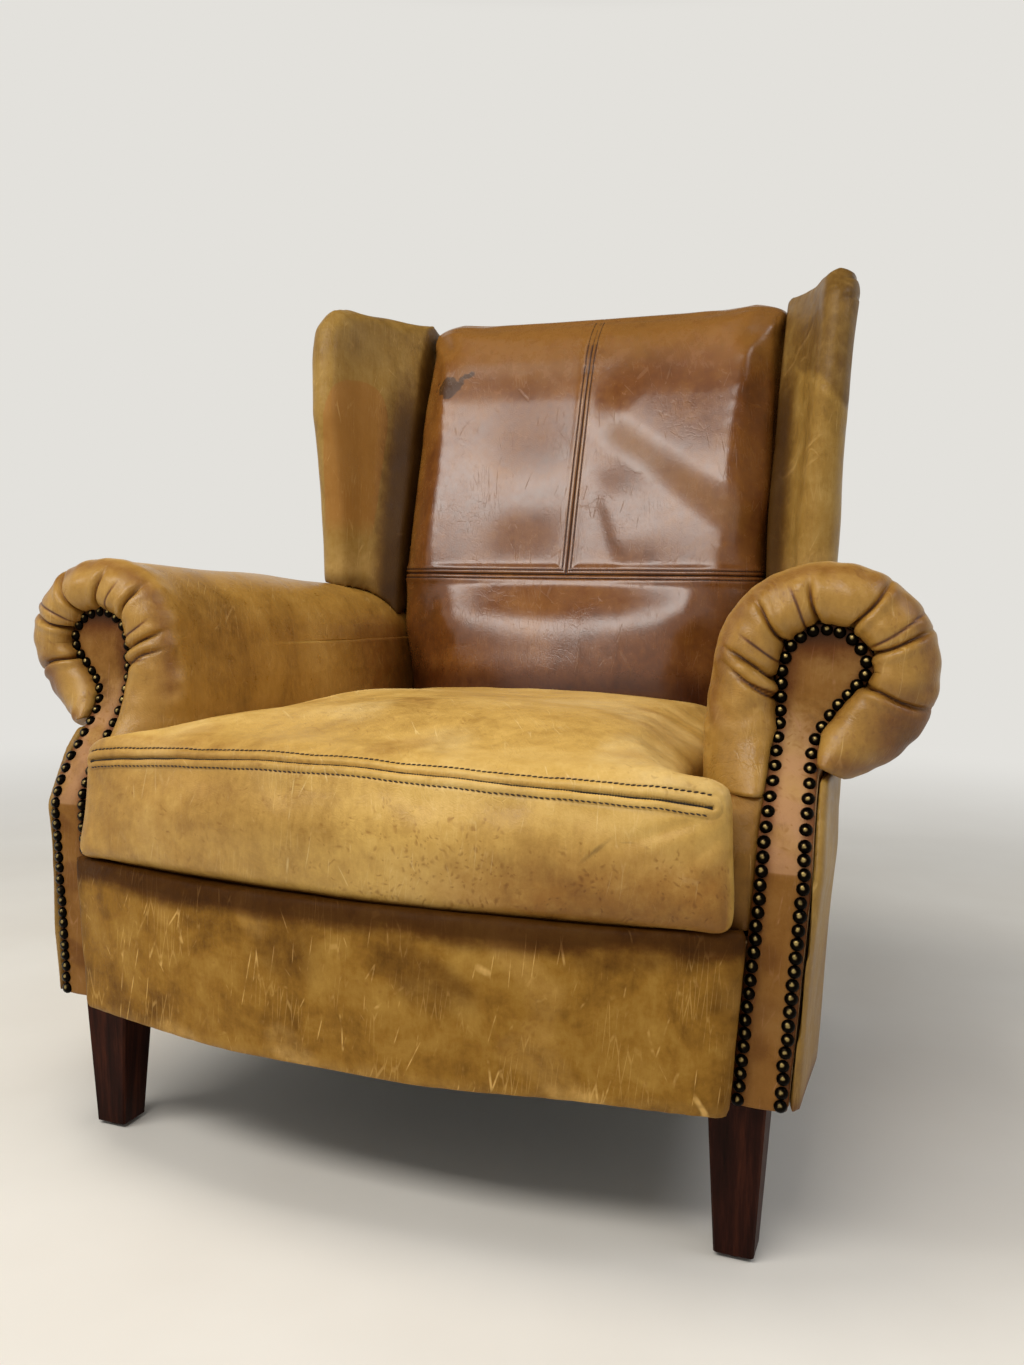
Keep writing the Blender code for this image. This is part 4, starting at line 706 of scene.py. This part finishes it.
NAIL_PITCH, NAIL_RADIUS = 0.0116, 0.0058
NAIL_TILT, NAIL_SHIFT = 0.07, 0.0003


def nail_route():
    """Points (x, z) up the inner side, round the head and down the outer side."""
    rise = np.linspace(HEM_Z + 0.006, HEAD_Z, 200)
    line = [(nail_side(z, False), z) for z in rise]
    for a in np.linspace(math.pi, 0, 120)[1:]:
        line.append((HEAD_X + HEAD_RADIUS * math.cos(a), HEAD_Z + HEAD_RADIUS * math.sin(a)))
    line += [(nail_side(z, True), z) for z in rise[::-1][1:]]
    return np.array(line)


def evenly(route, pitch):
    """Points along a route at an even pitch, as near the asked one as its length allows."""
    runs = np.concatenate([[0], np.cumsum(np.linalg.norm(np.diff(route, axis=0), axis=1))])
    stations = np.linspace(0, runs[-1], round(runs[-1] / pitch) + 1)
    return np.column_stack([np.interp(stations, runs, route[:, i]) for i in range(route.shape[1])])


def nail_dome():
    """One nail head: a low dome, flat beneath."""
    bpy.ops.object.select_all(action="DESELECT")
    bpy.ops.mesh.primitive_uv_sphere_add(segments=14, ring_count=10, radius=NAIL_RADIUS)
    nail = bpy.context.object
    edit_all(
        nail, bpy.ops.mesh.bisect, plane_co=(0, 0, 0), plane_no=(0, 0, 1), clear_inner=True, use_fill=True,
    )
    verts, faces = points_of(nail), [list(face.vertices) for face in nail.data.polygons]
    verts[:, 2] *= 0.80
    bpy.data.objects.remove(nail)
    return verts, faces


def repeat_mesh(name, verts, faces, places):
    """One mesh of many copies of a small shape, each set by a 4 by 4 matrix."""
    all_verts, all_faces = [], []
    for number, matrix in enumerate(places):
        turned = verts @ np.array(matrix)[:3, :3].T + np.array(matrix)[:3, 3]
        all_verts.append(turned)
        offset = number * len(verts)
        all_faces += [[i + offset for i in face] for face in faces]
    mesh = bpy.data.meshes.new(name)
    mesh.from_pydata(np.concatenate(all_verts).tolist(), [], all_faces)
    piece = scene_object(name, mesh)
    choose(piece)
    bpy.ops.object.shade_smooth_by_angle(angle=math.radians(50))
    return piece


def antiqued_brass():
    """Brass under a black patina; the rubbed brass is painted as a glint where a dome faces forward and a
    little up.
    """
    material, tree, place = start_material("antiqued brass, rubbed")
    normal = add_node(tree, "NewGeometry", output="Normal")
    # Painted glint: the brass colour follows how far the dome faces forward and a little up.
    front = add_node(tree, "VectorMath DOT_PRODUCT", (normal, (0.0, -0.95, 0.3)), output="Value")
    patchy = add_node(tree, "TexNoise", {"Vector": place, "Scale": 320.0, "Detail": 3.0})
    crown = add_node(tree, "Math ADD", (add_node(tree, "Math MULTIPLY_ADD", (patchy, 0.16, -0.08)), front))
    patina = [(0.90, "#0D0A07"), (0.95, "#241B11"), (0.99, "#9C8754")]
    end_material(tree, {
        "Base Color": add_node(tree, "ValToRGB", (crown,), patina), "Metallic": 1.0,
        "Roughness": add_node(tree, "MapRange", {"Value": patchy, "To Min": 0.22, "To Max": 0.5}),
        "Normal": add_node(tree, "Bump", {"Height": patchy, "Strength": 0.5, "Distance": 0.0004}),
    })
    return material


brass = antiqued_brass()
dome_verts, dome_faces = nail_dome()
for side, word in SIDES:
    dice = np.random.default_rng(30 + side)
    places = []
    for x, z in evenly(nail_route(), NAIL_PITCH):
        y = facing_depth(z) + FEET_Y - 0.0006
        lean = math.atan2(facing_depth(z + 0.004) - facing_depth(z - 0.004), 0.008)
        tilt = Matrix.Rotation(math.pi / 2 - lean + dice.normal(0, NAIL_TILT), 4, "X")
        sway = Matrix.Rotation(dice.normal(0, NAIL_TILT), 4, "Z")
        turn = sway @ tilt @ Matrix.Rotation(dice.uniform(0, 6), 4, "Z")
        size = Matrix.Scale(1 + dice.normal(0, 0.015), 4)
        shift = Vector((side * (x + dice.normal(0, NAIL_SHIFT)), y, z + dice.normal(0, NAIL_SHIFT)))
        places.append(Matrix.Translation(shift) @ turn @ size)
    nails = repeat_mesh(f"nails_{word}", dome_verts, dome_faces, places)
    seat_in_frame(nails, brass, "antique_brass", f"nail_trim_{word}")


# Front border
# Padded leather over the bowed front rail, tacked under it. Calves and shoes have cut it
# with pale scratches, and the top is dark, partly where the cushion rubs and mostly as painted shadow.

# The dirt and stain colours here also tint the painted shadow of the cushion across the top.
border_leather = aged_leather(
    "border leather, scratched", "#66420F", "#956B27", "#B0883F", pale="#DDB268", dirt_and_shade="#331B03",
    stain="#6E420C", roughness=0.45, coat=0.0, specular=0.1, freckles=0.5, scratches=0.85, blotch=0.07,
    contrast=1.1, seed=2.0,
)
border = leather_blank("front_border", "front_border_leather", 0.0045, 4)
place = points_of(border)
front = step(0.3, -0.3, normals_of(border)[:, 1])
swell(border, front * (0.0022 + 0.0009 * ripple(place, 0.20, 51)))
place = points_of(border)
place[:, 2] += 0.0050 * step(0.265, 0.288, place[:, 2]) - 0.0015 * step(0.165, 0.150, place[:, 2])
set_points(border, place)
x, z = place[:, 0], place[:, 2]
# Painted shadow of the cushion's overhang across the top, with the dirt where the cushion rubs
cushion_shadow = step(0.268, 0.288, z + 0.003 * ripple(place, 0.10, 53))
end_dirt = 0.35 * step(0.30, 0.33, np.abs(x))
smudge = 0.42 * step(0.4, 1.6, ripple(place, 0.13, 54)) * step(0.19, 0.24, z)
paint_marks(
    border, dirt_and_shade=most(0.80 * cushion_shadow, end_dirt, smudge),
    wear=0.30 * step(0.8, 1.8, ripple(place, 0.10, 55)) + 0.25 * step(0.165, 0.150, z),
    freckled=0.25 * step(0.0, 1.2, ripple(place, 0.09, 56)),
)
seat_in_frame(border, border_leather, "tan_leather", "front_border")


# Wings
# Stuffed leather over a flared board on each side of the back, rolled over the front and top.
# The left wing has an arch-shaped patch of redder dye; the right one has greyed at its top.

wing_leather = aged_leather(
    "wing leather, greyed", "#70511E", "#9A7838", "#B29354", accent="#A06E33", stain="#7C5F2E",
    roughness=0.37, coat=0.05, freckles=0.4, scratches=0.3, seed=4.0, specular=0.25,
)
for side, word in SIDES:
    wing = leather_blank(f"wing_pad_{word}", f"wing_leather_{word}", 0.0040, 14)
    place = points_of(wing)
    swell(wing, 0.0020 + 0.0010 * ripple(place, 0.20, 70 + side))
    place = points_of(wing)
    place[:, 2] -= 0.0070 * step(0.66, 0.60, place[:, 2])
    set_points(wing, place)
    x, y, z = place[:, 0] * side, place[:, 1], place[:, 2]
    seam = hump(x - 0.264, 0.008) * step(0.2, 0.26, y)
    shaded = 0.82 * step(0.306, 0.276, x) * step(0.99, 0.80, z)
    dirt_and_shade = most(0.7 * seam, 0.5 * step(0.61, 0.585, z), shaded)
    if side < 0:
        arch = ((x - 0.3135 - 0.03 * (0.78 - z)) / 0.024) ** 2 + (np.maximum(0, z - 0.80) / 0.070) ** 2
        accent = step(1.15, 0.90, arch) * step(0.60, 0.72, z) * (y < 0.25)
        top_grey = 0.30 * step(0.86, 0.92, z)
    else:
        accent = 0.0
        top_grey = 0.50 * step(0.835, 0.850, z + 0.9 * (x - 0.32) + 0.003 * ripple(place, 0.08, 77))
        for fold_z, slope in ((0.958, 0.5), (0.930, 0.35), (0.838, -0.9)):
            line = z - fold_z - slope * (x - (0.36 if fold_z > 0.9 else 0.32))
            depth = step(0.345, 0.365, x) if fold_z > 0.9 else 0.35 * step(0.29, 0.33, x)
            swell(wing, -0.0030 * hump(line, 0.0030) * depth)
            dirt_and_shade = most(dirt_and_shade, 0.7 * hump(line, 0.0022) * depth)
    paint_marks(
        wing, dirt_and_shade=most(dirt_and_shade, top_grey), accent=accent, wear=0.35 * hump(z - 0.61, 0.03),
        freckled=0.2 * step(0.2, 1.2, ripple(place, 0.10, 78)),
    )
    seat_in_frame(wing, wing_leather, "tan_leather", f"wing_pad_{word}")


# Inside back
# One soft cover in three panels of dark brown leather, polished by use: two above, one below.
# The seams are felled and topstitched on both sides in dark brown thread.

STUFFING_PRESSURE, STUFFING_TICKS, STUFFING_CAP = 4.0, 20, 0.010


def stuff(piece, tacked):
    """Swells a cover like fresh stuffing, held where it is tacked; no point moves past the cap."""
    before = points_of(piece)
    group = piece.vertex_groups.new(name="tacked")
    group.add([int(i) for i in np.nonzero(tacked)[0]], 1.0, "REPLACE")
    cloth = piece.modifiers.new("stuffing", "CLOTH")
    settings = cloth.settings
    settings.vertex_group_mass = "tacked"
    settings.use_pressure = True
    settings.uniform_pressure_force = STUFFING_PRESSURE
    settings.effector_weights.gravity = 0
    settings.bending_stiffness = 4.0
    cloth.collision_settings.use_collision = False
    for tick in range(1, STUFFING_TICKS + 1):
        bpy.context.scene.frame_set(tick)
    choose(piece)
    bpy.ops.object.modifier_apply(modifier=cloth.name)
    bpy.context.scene.frame_set(1)
    moved = points_of(piece) - before
    far = np.linalg.norm(moved, axis=1, keepdims=True)
    set_points(piece, before + moved * np.minimum(1, STUFFING_CAP / np.maximum(far, 1e-9)))


def refine(piece, close):
    """Halves the mesh's faces where all their points are close to a seam, and evens them out."""
    choose(piece)
    loops = np.empty(len(piece.data.loops), dtype=np.int32)
    piece.data.loops.foreach_get("vertex_index", loops)
    starts = np.empty(len(piece.data.polygons), dtype=np.int32)
    piece.data.polygons.foreach_get("loop_start", starts)
    inside = np.logical_and.reduceat(close[loops], starts)
    for part in (piece.data.vertices, piece.data.edges):
        part.foreach_set("select", np.zeros(len(part), dtype=bool))
    piece.data.polygons.foreach_set("select", inside)
    bpy.ops.object.mode_set(mode="EDIT")
    bpy.ops.mesh.select_mode(type="FACE")
    bpy.ops.mesh.subdivide(number_cuts=1)
    bpy.ops.mesh.vertices_smooth(factor=0.4, repeat=2)
    bpy.ops.object.mode_set(mode="OBJECT")


BACK_SEAM_Z = 0.600
BACK_STITCHES_AT = 0.0058
back_leather = aged_leather(
    "back leather, polished", "#42220D", "#6C3F18", "#8C5B23", accent="#1D1512", dirt_and_shade="#1E0F07",
    stain="#8A5A2C", pale="#8A5F26", roughness=0.24, coat=0.0, freckles=0.15, scratches=0.22, seed=8.0,
    grain=0.35, dried=0.03, ior=1.6, specular=0.5, contrast=0.9,
)
back = leather_blank("inside_back", "inside_back_leather", 0.0060, 12)
place = points_of(back)
stuff(back, (normals_of(back)[:, 1] > 0.2) & (place[:, 2] < 0.93))
apply_modifier(back, "SMOOTH", factor=0.5, iterations=20)
apply_modifier(back, "SUBSURF", levels=1, render_levels=1)


def near_back_seams(place, reach):
    across = np.abs(place[:, 2] - BACK_SEAM_Z) < reach
    upright = (np.abs(place[:, 0]) < reach) & (place[:, 2] > BACK_SEAM_Z)
    return (across | upright) & (place[:, 1] < 0.28)


for reach in (0.016, 0.011):
    refine(back, near_back_seams(points_of(back), reach))
place = points_of(back)
front = step(0.1, -0.5, normals_of(back)[:, 1])


def beside_line(place, start, end):
    """How far points lie along and beside a line between two points (x, z), and its length."""
    start, end = np.array(start), np.array(end)
    run = end - start
    length = np.linalg.norm(run)
    away = place[:, [0, 2]] - start
    return away @ run / length, away @ np.array([-run[1], run[0]]) / length, length


def fold(place, start, end, width):
    """Closeness to a soft line between two points (x, z), fading at its ends."""
    along, off, length = beside_line(place, start, end)
    return hump(off, width) * step(-0.02, 0.05, along) * step(length + 0.03, length - 0.04, along)


def shelf(place, start, end, width, fall):
    """A slope across a line between two points (x, z): up on its left side, then gently down again."""
    along, off, length = beside_line(place, start, end)
    reach = step(-0.03, 0.04, along) * step(length + 0.04, length - 0.03, along)
    return step(-width / 2, width / 2, off) * hump(np.maximum(0, off - width / 2), fall) * reach


lumbar = place[:, 2] - 0.530 - 0.35 * np.maximum(0, place[:, 0] - 0.13)
height = 0.0012 + 0.0012 * ripple(place, 0.34, 81) + 0.0048 * hump(lumbar, 0.042)
height -= 0.0030 * step(0.840, 0.900, place[:, 2]) + 0.0045 * step(0.905, 0.955, place[:, 2])
height += 0.0080 * shelf(place, (0.021, 0.816), (0.240, 0.662), 0.058, 0.10)
height += 0.0042 * shelf(place, (0.029, 0.720), (0.073, 0.615), 0.028, 0.05)
height += 0.0052 * shelf(place, (-0.120, 0.655), (-0.022, 0.655), 0.085, 0.10)
height += 0.0010 * fold(place, (0.035, 0.56), (0.035, 0.46), 0.006)
height += 0.0008 * fold(place, (0.085, 0.56), (0.082, 0.46), 0.006)
swell(back, height * front)
place = points_of(back)
x, y, z = place.T
across = z - BACK_SEAM_Z
upright = np.hypot(x, np.minimum(0, z - BACK_SEAM_Z))
apart = np.minimum(np.abs(across), upright)
profile = 0.0011 * hump(apart - 0.0036, 0.0050) - 0.0020 * hump(apart, 0.0011)
profile += 0.0008 * hump(apart - 0.0095, 0.0040) - 0.0008 * hump(apart - BACK_STITCHES_AT, 0.0010)
swell(back, front * profile)
edge = step(0.205, 0.262, np.abs(x))
top = step(0.83, 0.95, z + 0.010 * ripple(place, 0.15, 83))
tan = most(
    0.85 * top, edge * np.where(x < 0, 0.85, 0.3) * step(-0.9, 0.9, ripple(place, 0.10, 84)),
    0.6 * hump(x, 0.012) * step(0.62, 0.70, z), 0.55 * fold(place, (0.021, 0.816), (0.240, 0.662), 0.024),
)
scuff = hump(np.hypot((x + 0.207) / 1.25, z - 0.870), 0.0165)
scuff = most(scuff, 0.95 * fold(place, (-0.212, 0.873), (-0.170, 0.892), 0.0068))
scuff = step(0.22, 0.60, scuff + 0.10 * ripple(place, 0.010, 85) * (scuff > 0.05))
sewn = most(0.95 * hump(apart, 0.0011), 0.75 * hump(apart - BACK_STITCHES_AT, 0.0010)) * (y < 0.3)
dirt_and_shade = most(0.8 * step(0.256, 0.268, np.abs(x)), 0.6 * step(0.49, 0.45, z), sewn)
paint_marks(back, dirt_and_shade=dirt_and_shade, wear=tan, accent=scuff)
seat_in_frame(back, back_leather, "brown_leather", "inside_back")


def smoothed(rows, reach=3):
    """A running mean along a route, so that small bumps in the leather don't bend a seam."""
    padded = np.pad(rows, ((reach, reach), (0, 0)), mode="edge")
    return np.mean([padded[i:i + len(rows)] for i in range(2 * reach + 1)], axis=0)


def trace(piece, guides, way):
    """Drops guide points onto a piece along a direction; gives its tree, the points and normals."""
    tree = BVHTree.FromPolygons(
        [tuple(p) for p in points_of(piece)], [tuple(face.vertices) for face in piece.data.polygons]
    )
    found = []
    for guide in guides:
        spot, normal, _, _ = tree.ray_cast(Vector(guide), Vector(way))
        if spot is not None:
            found.append((spot, normal))
    spots = smoothed(np.array([spot for spot, _ in found]))
    normals = smoothed(np.array([normal for _, normal in found]))
    return tree, [(Vector(spot), Vector(normal).normalized()) for spot, normal in zip(spots, normals)]


def distance_to(points, route):
    """How far each point lies from the nearest station of a route."""
    near = KDTree(len(route))
    for number, station in enumerate(route):
        near.insert(station, number)
    near.balance()
    return np.array([near.find(point)[2] for point in points])


def stitch_capsule(length, thickness):
    """One stitch: a short, fat run of thread."""
    bpy.ops.object.select_all(action="DESELECT")
    bpy.ops.mesh.primitive_uv_sphere_add(segments=8, ring_count=6, radius=1.0)
    ball = bpy.context.object
    verts, faces = points_of(ball), [list(face.vertices) for face in ball.data.polygons]
    bpy.data.objects.remove(ball)
    return verts[:, [2, 0, 1]] * (length / 2, thickness / 2, thickness / 2), faces


def stitch_rows(name, piece, guides, way, aside, pitch, length, thickness, slant=0.0):
    """Two rows of stitches beside a seam, each stitch half sunk in the leather."""
    tree, found = trace(piece, guides, way)
    route = np.array([spot for spot, _ in found])
    stations = evenly(route, pitch)
    verts, faces = stitch_capsule(length, thickness)
    places = []
    for before, here, after in zip(stations, stations[1:], stations[2:]):
        along = Vector(after - before).normalized()
        across = along.cross(Vector(way)).normalized()
        for offset in (-aside, aside):
            spot, up, _, _ = tree.find_nearest(Vector(here) + across * offset)
            heading = (along + across * slant * (1 if offset > 0 else -1)).normalized()
            side_way = up.cross(heading).normalized()
            matrix = Matrix((heading, side_way, up)).transposed().to_4x4()
            matrix.translation = spot + up * thickness * 0.3
            places.append(matrix)
    return repeat_mesh(name, verts, faces, places)


def seam_line(name, piece, guides, way, thickness):
    """The dark gap of a seam: a thin cord laid in the bottom of its groove."""
    _, found = trace(piece, guides, way)
    curve = bpy.data.curves.new(name, "CURVE")
    curve.dimensions = "3D"
    curve.bevel_depth = thickness / 2
    curve.bevel_resolution = 1
    curve.use_fill_caps = True
    spline = curve.splines.new("POLY")
    spline.points.add(len(found) - 1)
    for point, (spot, normal) in zip(spline.points, found):
        point.co = (*(spot - normal * thickness * 0.1), 1)
    made = scene_object(name, curve)
    choose(made)
    bpy.ops.object.convert(target="MESH")
    apply_modifier(made, "WELD", merge_threshold=0.00005)
    bpy.ops.object.shade_smooth()
    return made


thread = plain_finish("waxed brown thread", "#2A170C", 0.6, grain=0.0006)
gap_dark = plain_finish("seam gap, dark with wax and dirt", "#140B06", 0.8)
cross_guides = [(u, -0.5, BACK_SEAM_Z) for u in np.linspace(-0.256, 0.256, 180)]
upright_guides = [(0.0, -0.5, h) for h in np.linspace(BACK_SEAM_Z + 0.004, 0.966, 130)]
for name, guides in (("back_cross_seam", cross_guides), ("back_centre_seam", upright_guides)):
    line = seam_line(name, back, guides, (0, 1, 0), 0.0014)
    seat_in_frame(line, gap_dark, "brown_leather")
    rows = stitch_rows(
        name + "_stitches", back, guides, (0, 1, 0), BACK_STITCHES_AT, pitch=0.0044, length=0.0036,
        thickness=0.0012,
    )
    seat_in_frame(rows, thread, "brown_leather")


# Seat cushion
# A stuffed cushion of golden tan leather: crowned top, bulging front, corners over the arm
# fronts. The front seam is felled, with a row of zigzag topstitching each side of it.

CUSHION_SEAM_Z = 0.418
CUSHION_STITCHES_AT = 0.0098


def seam_guide(u):
    """The front seam follows the cushion's upper front edge, which bows forward and up in its middle."""
    return (u, -0.402 + 0.018 * (u / 0.31) ** 2, 0.4215 - 0.010 * (u / 0.32) ** 2)


cushion_leather = aged_leather(
    "cushion leather, golden", "#9E7633", "#CDA556", "#E5C174", stain="#A67C3A", pale="#F0D596",
    accent="#4C3D26", spot_colour="#8E5F22", coat=0.05, scratches=0.4, contrast=0.9,
)
cushion = leather_blank("seat_cushion", "seat_cushion_leather", 0.0060, 6)
place = points_of(cushion)
stuff(cushion, (place[:, 2] < 0.303) & (place[:, 1] > -0.33))
apply_modifier(cushion, "SMOOTH", factor=0.5, iterations=10)
apply_modifier(cushion, "SUBSURF", levels=1, render_levels=1)
down_back = Vector((0, 1, -1)).normalized()
front_guides = [Vector(seam_guide(u)) - 0.2 * down_back for u in np.linspace(-0.312, 0.312, 260)]


def from_front_seam(place):
    """How far points lie from the cushion's front seam."""
    return distance_to(place, [spot for spot, _ in trace(cushion, front_guides, down_back)[1]])


place = points_of(cushion)
refine(cushion, (np.abs(place[:, 2] - CUSHION_SEAM_Z) < 0.030) & (place[:, 1] < -0.33))
refine(cushion, from_front_seam(points_of(cushion)) < 0.013)
place = points_of(cushion)
lower_front = step(0.345, 0.305, place[:, 2]) * step(-0.24, -0.34, place[:, 1])
place[:, 2] -= 0.0050 * lower_front
place[:, 1] -= 0.0030 * lower_front
set_points(cushion, place)
x, y, z = place.T
front = step(0.0, -0.6, normals_of(cushion)[:, 1])
height = 0.0020 * ripple(place, 0.24, 91)
corner = step(0.235, 0.32, x) * step(-0.30, -0.36, y) * step(0.31, 0.34, z)
for start, end, depth in (
    ((0.322, 0.400), (0.250, 0.374), 0.0022), ((0.325, 0.388), (0.296, 0.358), 0.0022),
    ((0.328, 0.372), (0.306, 0.335), 0.0018), ((0.316, 0.407), (0.262, 0.398), 0.0014),
):
    height -= depth * fold(place, start, end, 0.0050) * front
    height += 0.7 * depth * fold(place + (0, 0, 0.010), start, end, 0.008) * front
height -= 0.0012 * fold(place, (-0.322, 0.400), (-0.285, 0.372), 0.006) * front
side_slope = step(-0.20, -0.30, y) * step(-0.36, -0.30, y)
height -= 0.0016 * side_slope * fold(place, (0.20, 0.44), (0.30, 0.43), 0.02)
swell(cushion, height)
place = points_of(cushion)
x, y, z = place.T
apart = np.full(len(place), 1.0)
close = np.nonzero((np.abs(z - CUSHION_SEAM_Z) < 0.035) & (y < -0.32))[0]
apart[close] = from_front_seam(place[close])
seam = 0.0014 * hump(apart - 0.0050, 0.0036) - 0.0030 * hump(apart, 0.0018)
swell(cushion, seam - 0.0008 * hump(apart - CUSHION_STITCHES_AT, 0.0014))
low = step(0.40, 0.33, z)
freckled = front * low * step(-0.16, 0.05, x) * (0.28 + 0.36 * step(-0.5, 1.0, ripple(place, 0.07, 94)))
freckled += 0.12 * step(0.5, 1.5, ripple(place, 0.10, 97))
bruise = most(
    fold(place, (0.206, 0.352), (0.228, 0.371), 0.0034),
    0.6 * fold(place, (0.226, 0.370), (0.262, 0.375), 0.0018),
    0.5 * fold(place, (-0.140, 0.360), (-0.137, 0.334), 0.0016),
)
# Painted shade over both ends of the front, most on its right half and low down; the underside is darker too;
# stain is real blotches.
under = step(0.312, 0.298, z)
shade = 0.68 * front * step(0.42, 0.31, z) * step(-0.05, 0.22, x) + 0.36 * front * step(0.05, -0.20, x)
stain = 0.30 * step(0.9, 1.9, ripple(place, 0.09, 96))
rubbed = 0.40 * step(0.0, 1.4, ripple(place, 0.16, 95)) * step(0.37, 0.43, z)
paint_marks(
    cushion, dirt_and_shade=most(0.8 * under, shade, stain), wear=rubbed, accent=bruise * 1.6, freckled=freckled,
)
seat_in_frame(cushion, cushion_leather, "tan_leather", "seat_cushion")
line = seam_line("cushion_front_seam", cushion, front_guides, down_back, 0.0026)
seat_in_frame(line, gap_dark, "tan_leather")
rows = stitch_rows(
    "cushion_stitches", cushion, front_guides, down_back, CUSHION_STITCHES_AT, pitch=0.0050, length=0.0044,
    thickness=0.0014, slant=0.22,
)
seat_in_frame(rows, thread, "tan_leather")


# Studio
# A plain pale floor that runs into the background, and three soft lights: a long one above the
# front, one overhead for the light of a ceiling, and a weaker one from the right.

BACKGROUND, CEILING = "#E3E1DC", "#4A4743"
SURROUND_STRENGTH = 0.34
FLOOR_NEAR, FLOOR_FAR = 0.7, 3.4
# Name, place, point it is aimed at, size, power and colour
LIGHTS = (
    ("overhead_light", (-0.45, -0.40, 2.70), (0, -0.1, 0.5), (0.8, 0.6), 19.0, "#FFF8EE"),
    ("front_light", (-0.85, -2.10, 2.58), (-0.85, 0.2, 0.75), (3.1, 0.74), 62.0, "#FFFAF4"),
    ("right_light", (2.10, -0.30, 2.40), (0, 0, 0.5), (0.8, 0.8), 12.0, "#FAF9FF"),
)


def pale_ground():
    """Pale painted floor; far from the chair it takes on the colour of the background."""
    material, tree, place = start_material("pale studio floor")
    speck = add_node(tree, "TexNoise", {"Vector": place, "Scale": 3.0, "Detail": 5.0})
    tone = add_node(tree, "ValToRGB", (speck,), [(0.3, "#ECE9E1"), (0.7, "#F3F1EA")])
    near = add_node(tree, "BsdfPrincipled", {"Base Color": tone, "Roughness": 0.75})
    far = add_node(tree, "Emission", {"Color": linear(BACKGROUND), "Strength": 1.0})
    distance = add_node(tree, "VectorMath LENGTH", (place,), output="Value")
    blend = add_node(tree, "MapRange", (distance, FLOOR_NEAR, FLOOR_FAR), interpolation_type="SMOOTHSTEP")
    rays = add_node(tree, "LightPath").node.outputs
    seen = add_node(tree, "Math MAXIMUM", (rays["Is Camera Ray"], rays["Is Glossy Ray"]))
    mixed = add_node(tree, "MixShader", (add_node(tree, "Math MULTIPLY", (blend, seen)), near, far))
    add_node(tree, "OutputMaterial", {"Surface": mixed})
    return material


bpy.ops.object.select_all(action="DESELECT")
bpy.ops.mesh.primitive_plane_add(size=30.0, location=(0, 0, 0))
floor = bpy.context.object
floor.name = "studio_floor"
floor.data.materials.append(pale_ground())

for name, place, target, size, power, colour in LIGHTS:
    lamp = bpy.data.lights.new(name, "AREA")
    lamp.shape = "RECTANGLE"
    lamp.size, lamp.size_y = size
    lamp.energy = power
    lamp.color = linear(colour)[:3]
    holder = bpy.data.objects.new(name, lamp)
    holder.location = place
    holder.rotation_euler = (Vector(target) - Vector(place)).to_track_quat("-Z", "Y").to_euler()
    # A whole ceiling has no bright spot, so the polished leather doesn't mirror this lamp
    holder.visible_glossy = name != "overhead_light"
    bpy.context.scene.collection.objects.link(holder)

world = bpy.data.worlds.new("studio surround")
bpy.context.scene.world = world
world.use_nodes = True
tree = world.node_tree
tree.nodes.clear()
rays = add_node(tree, "LightPath").node.outputs
way = add_node(tree, "TexCoord", output="Generated")
height = add_node(tree, "SeparateXYZ", (way,), output="Z")
walls = add_node(tree, "ValToRGB", (height,), [(0.44, BACKGROUND), (0.62, CEILING)])
lit = add_node(tree, "Background", {"Color": linear("#F2F1EE"), "Strength": SURROUND_STRENGTH})
seen = add_node(tree, "Background", {"Color": walls, "Strength": 1.0})
mirrored = add_node(tree, "Math MAXIMUM", (rays["Is Glossy Ray"], rays["Is Transmission Ray"]))
shown = add_node(tree, "Math MAXIMUM", (rays["Is Camera Ray"], mirrored))
add_node(tree, "OutputWorld", {"Surface": add_node(tree, "MixShader", (shown, lit, seen))})

# Camera, as fitted to the photograph: low, close, and a little to the chair's right
EYE, FOCAL_LENGTH = (0.474, -1.2832, 0.570), 30.17
yaw, pitch, roll = (math.radians(a) for a in (20.38, 4.33, 0.94))
ahead = Vector((-math.sin(yaw), math.cos(yaw), 0))
across = Vector((math.cos(yaw), math.sin(yaw), 0))
up = Vector((0, 0, 1))
looking = ahead * math.cos(pitch) - up * math.sin(pitch)
above = ahead * math.sin(pitch) + up * math.cos(pitch)
right_way = across * math.cos(roll) + above * math.sin(roll)
up_way = above * math.cos(roll) - across * math.sin(roll)
lens = bpy.data.cameras.new("photo_camera")
lens.lens = FOCAL_LENGTH
lens.clip_start = 0.05
camera = bpy.data.objects.new("photo_camera", lens)
turn = Matrix((right_way, up_way, -looking)).transposed().to_4x4()
camera.matrix_world = Matrix.Translation(EYE) @ turn
bpy.context.scene.collection.objects.link(camera)
bpy.context.scene.camera = camera
bpy.context.scene.view_settings.view_transform = "Standard"
